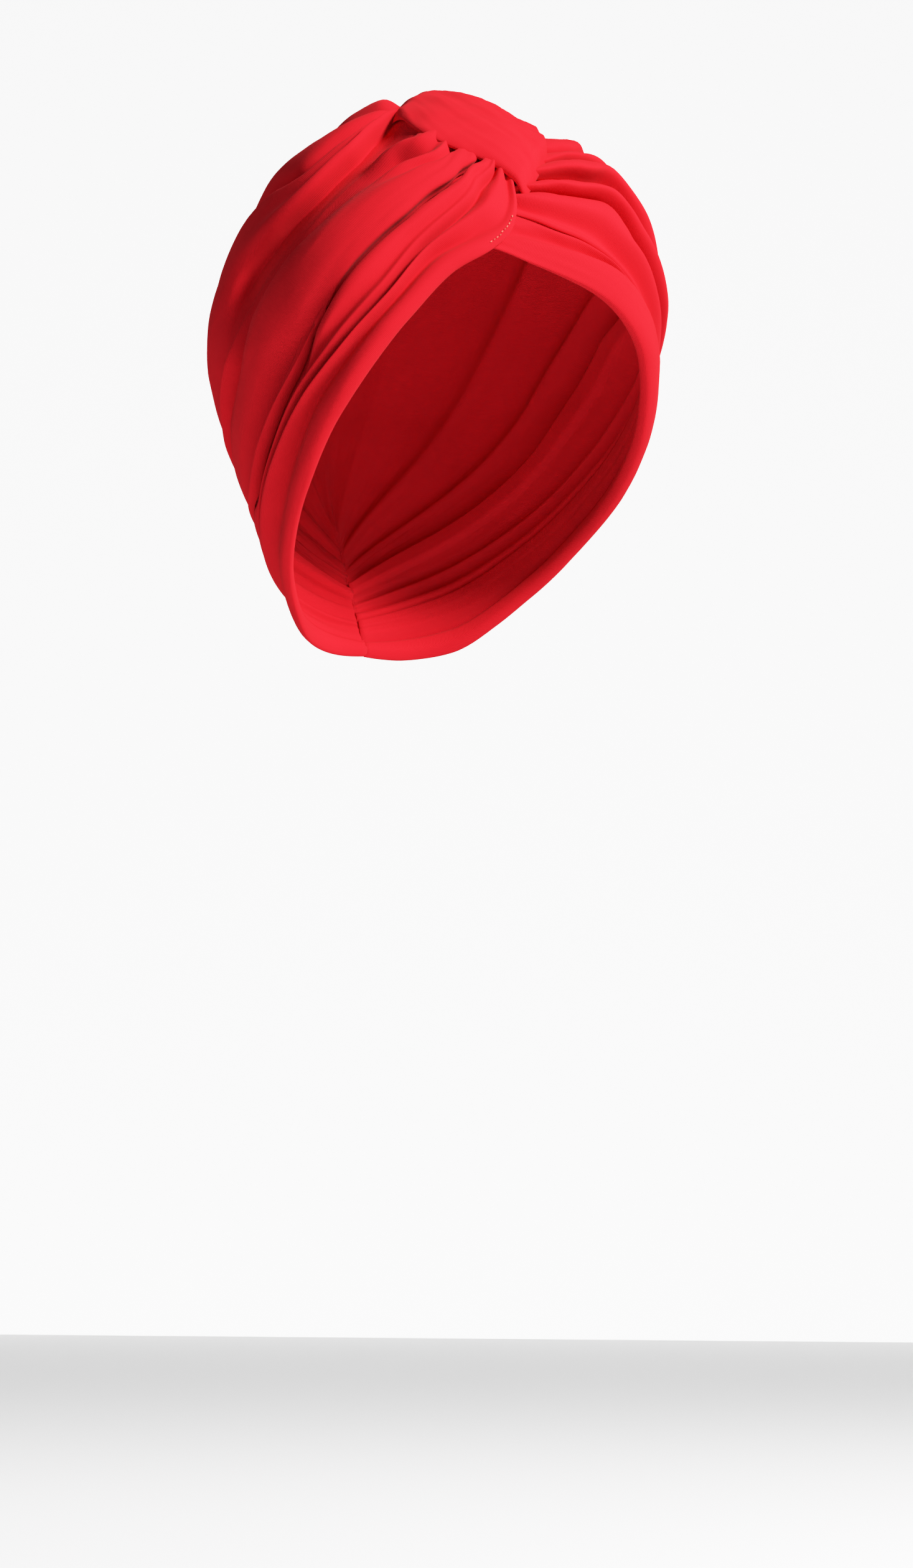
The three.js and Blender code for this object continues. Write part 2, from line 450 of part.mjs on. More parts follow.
// Closed wall of cloth from lines of points: outer face, inner face and the four edges between them
function clothWall(lines) {
  const outer = lines.map((line) => line.map((p) => {
    p.radius = headRadius(p.way);
    return p.way.clone().multiplyScalar(p.radius + p.outer);
  }));
  const inner = lines.map((line, i) => line.map((p, j) => {
    const lean = [[i - 1, j], [i + 1, j]].map(([a, b]) => {
      if (!lines[a]) return 1;
      const rise = lines[a][b].outer - p.outer;
      const along = Math.max(outer[a][b].distanceTo(outer[i][j]), CLOTH_WALL);
      return Math.hypot(1, rise / along);
    });
    const wall = CLOTH_WALL * Math.min(Math.max(...lean), STEEPEST_LEAN);
    const height = Math.max(p.outer - wall, p.floor);
    return p.way.clone().multiplyScalar(p.radius + Math.min(height, p.outer - CLOTH_WALL));
  }));
  const rows = lines.length;
  const columns = lines[0].length;
  const positions = [];
  const triangle = (a, b, c) => [a, b, c].forEach((v) => positions.push(v.x, v.y, v.z - CROWN_RISE));
  const quad = (a, b, c, d) => {
    if (a.distanceTo(c) < b.distanceTo(d)) {
      triangle(a, b, c);
      triangle(a, c, d);
    } else {
      triangle(a, b, d);
      triangle(b, c, d);
    }
  };
  for (let i = 0; i + 1 < rows; i += 1) {
    for (let j = 0; j + 1 < columns; j += 1) {
      quad(outer[i][j], outer[i][j + 1], outer[i + 1][j + 1], outer[i + 1][j]);
      quad(inner[i][j], inner[i + 1][j], inner[i + 1][j + 1], inner[i][j + 1]);
    }
    quad(outer[i][0], outer[i + 1][0], inner[i + 1][0], inner[i][0]);
    quad(outer[i][columns - 1], inner[i][columns - 1], inner[i + 1][columns - 1], outer[i + 1][columns - 1]);
  }
  for (let j = 0; j + 1 < columns; j += 1) {
    quad(outer[0][j], inner[0][j], inner[0][j + 1], outer[0][j + 1]);
    quad(outer[rows - 1][j], outer[rows - 1][j + 1], inner[rows - 1][j + 1], inner[rows - 1][j]);
  }
  return outwards(positions);
}

// Turns the triangles round if they enclose a negative volume
function outwards(positions) {
  let volume = 0;
  for (let k = 0; k < positions.length; k += 9) {
    const [a, b, c] = [0, 3, 6].map((n) => new THREE.Vector3().fromArray(positions, k + n));
    volume += a.dot(b.cross(c));
  }
  if (volume < 0) {
    for (let k = 0; k < positions.length; k += 9) {
      for (let n = 0; n < 3; n += 1) {
        [positions[k + 3 + n], positions[k + 6 + n]] = [positions[k + 6 + n], positions[k + 3 + n]];
      }
    }
  }
  const geometry = new THREE.BufferGeometry();
  geometry.setAttribute('position', new THREE.Float32BufferAttribute(positions, 3));
  geometry.computeVertexNormals();
  return geometry;
}

// Paths of the columns, closer together by the knot; the last stops short of the centre back seam
function drapePaths() {
  const end = 1 - BACK_SEAM_GAP / (FOREHEAD_DEPTH + BACK_DEPTH);
  return Array.from({ length: DRAPE_COLUMNS + 1 }, (_, j) => {
    const share = j / DRAPE_COLUMNS;
    return end * share * (1 - FRONT_CROWDING + FRONT_CROWDING * share);
  });
}

const PATHS = drapePaths();
const RIGHT = -1;
const LEFT = 1;

function crownLines() {
  const right = foldLines(RIGHT, [...CROWN_RIGHT, CREST_LINE], PATHS);
  const left = foldLines(LEFT, [...CROWN_LEFT, CREST_LINE], PATHS);
  left.pop();
  return [...right, ...left.reverse()];
}

const jersey = (colour) => new THREE.MeshStandardMaterial({ color: colour, roughness: 0.82, metalness: 0 });

const PIECES = [
  { name: 'crown', colour: 0xc41226, lines: crownLines() },
  { name: 'right_drape', colour: 0xe21c30, lines: foldLines(RIGHT, RIGHT_DRAPE, PATHS) },
  { name: 'left_drape', colour: 0xd6182c, lines: foldLines(LEFT, LEFT_DRAPE, PATHS) },
  { name: 'left_front_band', colour: 0xee2438, lines: foldLines(LEFT, LEFT_FRONT_BAND, PATHS) },
  { name: 'knot_band', colour: 0xf02c3e, lines: bandLines() },
];

const wrap = new THREE.Group();
PIECES.forEach(({ name, colour, lines }) => {
  const mesh = new THREE.Mesh(clothWall(lines), jersey(colour));
  mesh.name = name;
  wrap.add(mesh);
});

export default wrap;
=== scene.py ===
"""Turban headwrap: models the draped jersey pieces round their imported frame, in a plain studio."""

import math

import bmesh
import bpy
import numpy as np
from bpy.props import FloatProperty, FloatVectorProperty, PointerProperty
from mathutils import Matrix, Vector


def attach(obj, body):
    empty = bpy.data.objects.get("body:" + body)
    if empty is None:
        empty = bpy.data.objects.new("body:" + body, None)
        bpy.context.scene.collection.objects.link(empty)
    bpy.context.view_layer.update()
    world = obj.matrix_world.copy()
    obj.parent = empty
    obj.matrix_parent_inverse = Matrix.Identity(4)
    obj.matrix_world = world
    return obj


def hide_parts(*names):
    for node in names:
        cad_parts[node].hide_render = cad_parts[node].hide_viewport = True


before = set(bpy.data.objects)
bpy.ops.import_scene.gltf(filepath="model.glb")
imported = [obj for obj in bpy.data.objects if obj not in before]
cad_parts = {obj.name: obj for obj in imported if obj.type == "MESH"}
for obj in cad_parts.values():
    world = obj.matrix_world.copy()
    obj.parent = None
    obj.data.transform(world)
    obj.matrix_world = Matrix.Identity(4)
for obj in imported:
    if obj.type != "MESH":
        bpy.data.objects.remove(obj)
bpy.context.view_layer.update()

bl_info = {
    "name": "Turban Headwrap",
    "version": (1, 0, 0),
    "blender": (4, 5, 0),
    "location": "View3D > Sidebar > Headwrap",
    "description": "Models a draped jersey turban piece by piece, with its hems, seams and stitches",
    "category": "Add Mesh",
}

MM = 0.001
BODY = "root"

# The hollow inside the wrap, in millimetres from its widest level. Below that level it narrows:
# at these shares of the drop to the nape it has these shares of its width. Its surface is found
# by halving a range this many times.
HOLLOW_WIDTH = 148
HOLLOW_FRONT = 84
HOLLOW_BACK = 94
CROWN_RISE = 96
NAPE_DROP = 130
ROUNDNESS = 2.15
NARROW_DROPS = [0, 0.154, 0.308, 0.515, 0.723, 1]
NARROW_WIDTHS = [1, 0.965, 0.905, 0.785, 0.64, 0.5]
HALVINGS = 36
CENTRE = Vector((0, 0, -CROWN_RISE * MM))

# Layers of cloth round the hollow, and the tallest folds, in millimetres
HOLLOW_GAP = 0.2
FIRST_LAYER = 1.6
CLOTH_LAYER = 2.2
FOLD_RELIEF = 10.5
BAND_RELIEF = 10

# Mean lengths in millimetres: from the hem to the line over the top,
# of a drape from the knot to the centre back, and of the knot band
HEM_TO_CREST = 235
DRAPE_LENGTH = 260
BAND_LENGTH = 110

# The seam at the centre back: over which stretch of the path the folds run out towards it,
# how high they stay as a share of the relief, and how far in millimetres a side laps over it
SEAM_START = 0.93
SEAM_STRETCH = 0.07
SEAM_RISE = 0.12
SEAM_LAP = 0.5

# Stitches beside the rounded corner: how many, between which places of the path, and in millimetres
# how far inside the edge, how far over the cloth, and the half widths and the half length of one
STITCHES = 14
STITCH_SPAN = (0.07, 0.12)
STITCH_INSET = 3.2
STITCH_LIFT = 0.2
STITCH_SIZE = (0.28, 0.28, 0.48)

# Small wrinkles: depth and length of a wave in millimetres, how many times longer a wave is along
# the folds than across them, and how many waves are added up
BROAD_WRINKLES = (0.1, 15, 5.5, 9)
FINE_WRINKLES = (0.05, 6, 3.5, 11)
GATHERED_WRINKLES = (0.5, 7, 6, 9)
BAND_WRINKLES = (0.42, 11, 6, 9)
FINE_BAND_WRINKLES = (0.18, 5, 4, 9)
# The lengths of the waves lie between these shares of it
WAVE_SPREAD = (0.6, 1.6)
# Millimetres from the knot over which the gathered wrinkles fade, and the cut lines at the edges
# of the drapes and of the band over which all of them do
GATHER_LENGTH = 22
DRAPE_FADE = 12
BAND_FADE = 10

# Columns of each cloth from the knot to its far end, how much closer they are by the knot,
# how many cut lines lie between two rows of folds, and the shortest chord in millimetres.
# At EDGE_COLUMN, beside the rounded corner, the line of the hem's edge is looked for.
DRAPE_COLUMNS = 150
CROWN_COLUMNS = 116
BAND_COLUMNS = 90
EDGE_COLUMN = DRAPE_COLUMNS // 8
KNOT_CROWDING = 0.25
BAND_CROWDING = 1.2
FEWEST_CUTS = 2
MOST_CUTS = 26
SHORTEST_CHORD = 0.4

# The knit: wales 0.55 mm and courses 0.49 mm apart as scales of a wave texture, how much they wander,
# and the depth of the bump in metres on the drapes and on the ribbed hem band
WALE_SCALE = 571
COURSE_SCALE = 640
WALE_WANDER = 0.6
COURSE_WANDER = 0.8
KNIT_DEPTH = 0.00008
RIB_DEPTH = 0.0002
# Scale of the uneven dye, the stops it runs between and its darkest share of the colour
DYE_SCALE = 38
DYE_STOPS = (0.3, 0.72)
DARKEST_DYE = 0.93
# Finishes of the cloth, of the thread of the stitches and of the studio
CLOTH_ROUGHNESS = 0.8
CLOTH_SHEEN = 0.014
SHEEN_ROUGHNESS = 0.5
THREAD_COLOUR = (0.8, 0.1, 0.07)
THREAD_ROUGHNESS = 0.7
STUDIO_COLOUR = (0.9, 0.9, 0.9)
STUDIO_ROUGHNESS = 0.9

# How the photograph was taken, round the middle of the wrap, in degrees, millimetres and pixels.
# SCALE_AT_CENTRE is in pixels for a millimetre.
CAMERA_TURN = -30
CAMERA_RISE = -6
CAMERA_ROLL = 0.5
CAMERA_DISTANCE = 1700
SENSOR_HEIGHT = 36
PHOTO_SIZE = (1467, 2520)
SCALE_AT_CENTRE = 4.15
CENTRE_IN_PHOTO = (708, 598)

# The studio: level of the floor in millimetres, half widths of the floor and of the paper behind
# the wrap and how far behind it stands in metres, and the strengths of its glow and of the room
FLOOR_LEVEL = -530
FLOOR_HALF = 6
PAPER_HALF = 3.4
PAPER_DISTANCE = 3
PAPER_GLOW = 1.1
ROOM_GLOW = 0.06
# Lamps: name, way from the wrap (right, up and back to the camera), distance and size in metres,
# and power as a share of the key light's
LAMPS = [
    ("key", (0.9, 0.78, 0.76), 1.5, 0.3, 1),
    ("fill", (-1, 0.5, 0.2), 1.8, 0.9, 0.04),
]
# The light that comes out white, and the curve below it from light to tone, chosen so that
# the bright folds keep their shading
WHITE_LEVEL = 2.4
TONES = [(0.1, 0.24), (0.208, 0.49), (0.417, 0.8), (0.667, 0.94)]

# Sides of the wearer, as signs of x
RIGHT = -1
LEFT = 1
BOTH = 0

# The lines that every fold lies between, in degrees round and above the hollow's centre:
# path from the knot (0) to the centre back (1), then turn and rise of the hem,
# turn and rise of the swell at the side, and rise of the line over the top
RIGHT_GUIDES = [
    (0, 9.5, 48, 38, 56, 89),
    (0.05, 9.6, 32, 52, 47, 84),
    (0.08, 11.5, 24.5, 57, 44.5, 81),
    (0.12, 16.3, 19.6, 63, 41.5, 76.5),
    (0.18, 26.5, 13.6, 70, 37.5, 70),
    (0.25, 37.5, 2.2, 78, 32, 62),
    (0.4, 58.4, -20.9, 93, 22, 48),
    (0.55, 79.5, -40, 109, 8, 31),
    (0.7, 108, -53.7, 127, -8, 11),
    (0.85, 145, -61.5, 151, -24, -10),
    (1, 180, -61, 180, -42, -30),
]
LEFT_GUIDES = [
    (0, -23, 22, 34, 57, 89),
    (0.05, -14, 19.6, 46, 51, 84),
    (0.08, -7, 17.3, 52, 47.5, 81),
    (0.12, 1.5, 14.9, 59, 43.5, 76.5),
    (0.18, 14, 11.3, 68, 38.5, 70),
    (0.25, 28, 4.2, 78, 32, 62),
    (0.4, 56, -22, 93, 22, 48),
] + RIGHT_GUIDES[7:]
# How strongly the lines are pulled towards the swell
SIDE_PULL = 1.1

# The knot band from its pinched front end (path 0) to its wide end on the crown (path 1):
# turn and rise of the edge towards the wearer's right, of the middle and of the far edge
BAND_GUIDES = [
    (0, -6, 33.6, 0.5, 41, 7, 47),
    (0.06, -9.6, 36.8, -1, 45.5, 9, 52),
    (0.14, -14.5, 40.3, -2, 51, 12, 57),
    (0.3, -24, 44.6, -3, 60, 20, 61.5),
    (0.5, -35, 50, -2, 70, 30, 65),
    (0.75, -47, 59, 0, 88, 40, 67.5),
    (1, -58, 64, 0, 113, 48, 69.5),
]

# Fold tables. A row is one line of the cloth from the knot to the centre back, read at these paths.
# kind: round or sharp. at: its place between the hem (0) and the crest line (1).
# over: layers of cloth under it. rise: its height as a share of FOLD_RELIEF.
STATIONS = [0, 0.03, 0.07, 0.12, 0.18, 0.25, 0.33, 0.42, 0.52, 0.64, 0.76, 0.88, 1]


def level(value):
    """The same value at every station."""
    return [value] * len(STATIONS)


FLAT = level(0)
HALF = level(0.5)
ONCE = level(1)
CORNER_LAYERS = [1.6, 1.9, 1.8, 1, 0.4, 0, 0, 0, 0, 0, 0, 0, 0]
SEAM_LAYERS = [0, 0.3, 0.55, 0.5, 0.5, 0.5, 0.5, 0.5, 0.5, 0.5, 0.5, 0.5, 0.5]


def fold(name, kind, at, rise, over=FLAT):
    """One row of a fold table."""
    return {"name": name, "kind": kind, "at": at, "rise": rise, "over": over}


RIGHT_DRAPE = [
    fold("turned hem", "sharp",
         [0.03, 0.03, 0.034, 0.04, 0.045, 0.045, 0.045, 0.045, 0.045, 0.045, 0.045, 0.045, 0.045],
         level(-0.1), CORNER_LAYERS),
    fold("inner hem", "round",
         level(0.006), level(-0.12), CORNER_LAYERS),
    fold("hem edge", "round",
         FLAT,
         [0, 0.02, 0.04, 0.08, 0.1, 0.1, 0.1, 0.1, 0.1, 0.1, 0.1, 0.1, 0.1], CORNER_LAYERS),
    fold("hem roll", "round",
         [0.01, 0.01, 0.012, 0.015, 0.019, 0.02, 0.02, 0.02, 0.02, 0.016, 0.02, 0.022, 0.025],
         [0.02, 0.1, 0.14, 0.22, 0.36, 0.42, 0.44, 0.44, 0.42, 0.38, 0.36, 0.34, 0.34], CORNER_LAYERS),
    fold("hem slope", "round",
         [0.02, 0.02, 0.024, 0.036, 0.045, 0.046, 0.05, 0.052, 0.047, 0.036, 0.04, 0.045, 0.045],
         [0.02, 0.06, 0.12, 0.22, 0.35, 0.42, 0.44, 0.42, 0.38, 0.34, 0.34, 0.32, 0.3], CORNER_LAYERS),
    fold("hem dip", "round",
         [0.03, 0.032, 0.042, 0.062, 0.07, 0.066, 0.075, 0.084, 0.077, 0.068, 0.07, 0.07, 0.07],
         [0, 0, 0.02, -0.02, 0, 0.1, 0.06, 0, 0, 0.04, 0.1, 0.12, 0.12],
         CORNER_LAYERS),
    fold("low ridge", "round",
         [0.046, 0.058, 0.095, 0.102, 0.092, 0.081, 0.092, 0.106, 0.115, 0.12, 0.13, 0.135, 0.14],
         [0.02, 0.2, 0.34, 0.42, 0.5, 0.58, 0.62, 0.66, 0.66, 0.62, 0.46, 0.38, 0.34],
         CORNER_LAYERS),
    fold("low crease", "sharp",
         [0.055, 0.075, 0.134, 0.129, 0.109, 0.097, 0.104, 0.117, 0.125, 0.132, 0.142, 0.15, 0.155],
         [0, -0.1, -0.12, -0.12, -0.12, -0.1, -0.06, 0, 0.1, 0.3, 0.24, 0.2, 0.18],
         CORNER_LAYERS),
    fold("upper ridge", "round",
         [0.062, 0.086, 0.148, 0.143, 0.122, 0.11, 0.119, 0.13, 0.135, 0.14, 0.155, 0.165, 0.18],
         [0.04, 0.3, 0.36, 0.46, 0.52, 0.58, 0.62, 0.66, 0.6, 0.54, 0.4, 0.36, 0.32],
         CORNER_LAYERS),
    fold("middle dip", "round",
         [0.074, 0.1, 0.166, 0.158, 0.14, 0.132, 0.14, 0.15, 0.156, 0.16, 0.19, 0.21, 0.23],
         [0.06, 0.28, 0.36, 0.42, 0.46, 0.48, 0.36, 0, -0.06, 0, 0.16, 0.2, 0.2],
         CORNER_LAYERS),
    fold("middle roll", "round",
         [0.088, 0.112, 0.178, 0.175, 0.157, 0.16, 0.158, 0.157, 0.163, 0.166, 0.225, 0.255, 0.27],
         [0.1, 0.44, 0.72, 0.84, 0.9, 0.92, 0.72, 0.06, 0, 0.04, 0.3, 0.36, 0.34],
         [1, 1.2, 1, 0.4, 0, 0, 0, 0, 0, 0, 0, 0, 0]),
    fold("lip", "round",
         [0.112, 0.134, 0.197, 0.198, 0.178, 0.188, 0.179, 0.16, 0.166, 0.17, 0.25, 0.3, 0.32],
         [0.06, 0.4, 0.68, 0.8, 0.86, 0.88, 0.62, 0.04, 0, 0.02, 0.24, 0.28, 0.26],
         [0.6, 0.8, 0.6, 0.2, 0, 0, 0, 0, 0, 0, 0, 0, 0]),
    fold("under the lip", "round",
         [0.11, 0.13, 0.194, 0.195, 0.175, 0.185, 0.178, 0.162, 0.168, 0.173, 0.256, 0.31, 0.33],
         [0, 0.02, 0.04, 0.04, 0.02, 0.02, 0.02, 0.02, 0, 0, 0.1, 0.1, 0.1]),
    fold("fold under the crown", "sharp",
         [0.128, 0.155, 0.22, 0.222, 0.201, 0.212, 0.202, 0.172, 0.18, 0.186, 0.27, 0.325, 0.345],
         FLAT),
    fold("upper margin", "sharp",
         [0.17, 0.2, 0.27, 0.272, 0.252, 0.262, 0.252, 0.22, 0.22, 0.225, 0.31, 0.365, 0.385],
         FLAT),
]

LEFT_FRONT_BAND = [
    fold("turned hem", "sharp", level(0.045), level(-0.1)),
    fold("inner hem", "round", level(0.006), level(-0.12)),
    fold("hem edge", "round",
         FLAT, [0, 0, 0.02, 0.06, 0.1, 0.1, 0.1, 0.1, 0.1, 0.1, 0.1, 0.1, 0.1]),
    fold("hem roll", "round",
         [0.016, 0.016, 0.018, 0.02, 0.022, 0.022, 0.022, 0.022, 0.022, 0.02, 0.02, 0.022, 0.025],
         [0, 0.02, 0.08, 0.22, 0.34, 0.42, 0.45, 0.45, 0.44, 0.4, 0.38, 0.36, 0.36]),
    fold("hem flat", "round",
         [0.03, 0.03, 0.05, 0.066, 0.082, 0.085, 0.07, 0.062, 0.062, 0.068, 0.07, 0.07, 0.07],
         [0, 0.06, 0.22, 0.44, 0.5, 0.46, 0.4, 0.34, 0.28, 0.24, 0.2, 0.18, 0.18]),
    fold("dip under the seam", "round",
         [0.05, 0.055, 0.08, 0.1, 0.118, 0.118, 0.108, 0.1, 0.098, 0.1, 0.1, 0.1, 0.1],
         [0, -0.06, -0.1, -0.12, -0.08, -0.04, 0, 0.04, 0.06, 0.06, 0.06, 0.05, 0.05]),
    fold("band above it", "round",
         [0.09, 0.09, 0.104, 0.12, 0.126, 0.124, 0.12, 0.118, 0.118, 0.12, 0.122, 0.122, 0.122],
         [0, 0.08, 0.2, 0.22, 0.16, 0.1, 0.08, 0.06, 0.05, 0.04, 0.04, 0.04, 0.04]),
    fold("fold under the drape", "sharp",
         [0.1, 0.105, 0.116, 0.13, 0.132, 0.13, 0.127, 0.126, 0.126, 0.128, 0.13, 0.13, 0.13],
         FLAT),
    fold("upper margin", "sharp",
         [0.115, 0.12, 0.13, 0.155, 0.16, 0.16, 0.158, 0.158, 0.158, 0.16, 0.163, 0.164, 0.165],
         FLAT),
]

LEFT_DRAPE = [
    fold("seam allowance", "sharp",
         [0.14, 0.125, 0.132, 0.148, 0.15, 0.148, 0.146, 0.146, 0.146, 0.148, 0.148, 0.148, 0.148],
         level(-0.1), SEAM_LAYERS),
    fold("seam edge", "round",
         [0.13, 0.112, 0.119, 0.133, 0.134, 0.132, 0.13, 0.13, 0.13, 0.132, 0.134, 0.134, 0.134],
         [0, -0.02, -0.06, -0.06, -0.06, -0.06, -0.06, -0.06, -0.06, -0.06, -0.06, -0.06, -0.06],
         SEAM_LAYERS),
    fold("seam roll", "round",
         [0.135, 0.117, 0.125, 0.139, 0.14, 0.138, 0.138, 0.14, 0.142, 0.146, 0.15, 0.154, 0.156],
         [0, 0.02, 0.06, 0.06, 0.04, 0.06, 0.1, 0.12, 0.14, 0.14, 0.12, 0.1, 0.08], SEAM_LAYERS),
    fold("dip over the seam", "round",
         [0.142, 0.134, 0.15, 0.168, 0.152, 0.15, 0.16, 0.172, 0.178, 0.186, 0.19, 0.194, 0.195],
         [0, -0.04, -0.04, -0.04, 0, 0.06, 0.02, 0, 0, 0, 0, 0, 0],
         [0, 0.2, 0.3, 0.3, 0.3, 0.2, 0.1, 0.1, 0.1, 0.1, 0.1, 0.1, 0.1]),
    fold("short ridge", "round",
         [0.148, 0.15, 0.17, 0.194, 0.174, 0.168, 0.188, 0.206, 0.212, 0.215, 0.216, 0.22, 0.225],
         [0.06, 0.4, 0.62, 0.78, 0.78, 0.6, 0.46, 0.44, 0.44, 0.4, 0.38, 0.34, 0.32]),
    fold("short slope", "round",
         [0.156, 0.172, 0.204, 0.25, 0.202, 0.19, 0.212, 0.23, 0.234, 0.236, 0.238, 0.244, 0.25],
         [0.05, 0.34, 0.54, 0.66, 0.6, 0.46, 0.36, 0.36, 0.34, 0.3, 0.28, 0.26, 0.24]),
    fold("short hollow", "sharp",
         [0.166, 0.19, 0.236, 0.286, 0.23, 0.212, 0.236, 0.25, 0.254, 0.254, 0.256, 0.264, 0.272],
         [0, -0.06, -0.08, -0.08, -0.06, 0, 0.06, 0.1, 0.14, 0.16, 0.15, 0.14, 0.14]),
    fold("middle ridge", "round",
         [0.17, 0.188, 0.226, 0.276, 0.224, 0.21, 0.238, 0.266, 0.28, 0.284, 0.286, 0.296, 0.306],
         [0.08, 0.5, 0.84, 1.02, 1.04, 0.92, 0.76, 0.66, 0.58, 0.52, 0.46, 0.42, 0.38]),
    fold("middle slope", "round",
         [0.18, 0.208, 0.254, 0.306, 0.262, 0.25, 0.286, 0.326, 0.33, 0.318, 0.314, 0.32, 0.33],
         [0.06, 0.44, 0.7, 0.84, 0.8, 0.7, 0.56, 0.5, 0.44, 0.4, 0.36, 0.32, 0.3]),
    fold("lip", "round",
         [0.19, 0.228, 0.28, 0.34, 0.304, 0.292, 0.33, 0.376, 0.376, 0.356, 0.346, 0.35, 0.36],
         [0, 0.02, 0, 0.04, 0.1, 0.16, 0.2, 0.22, 0.22, 0.2, 0.2, 0.18, 0.16]),
    fold("fold under the crown", "sharp",
         [0.2, 0.24, 0.292, 0.352, 0.316, 0.304, 0.342, 0.388, 0.386, 0.366, 0.356, 0.36, 0.37],
         FLAT),
    fold("upper margin", "sharp",
         [0.23, 0.27, 0.33, 0.39, 0.36, 0.35, 0.39, 0.44, 0.44, 0.415, 0.408, 0.42, 0.43],
         FLAT),
]

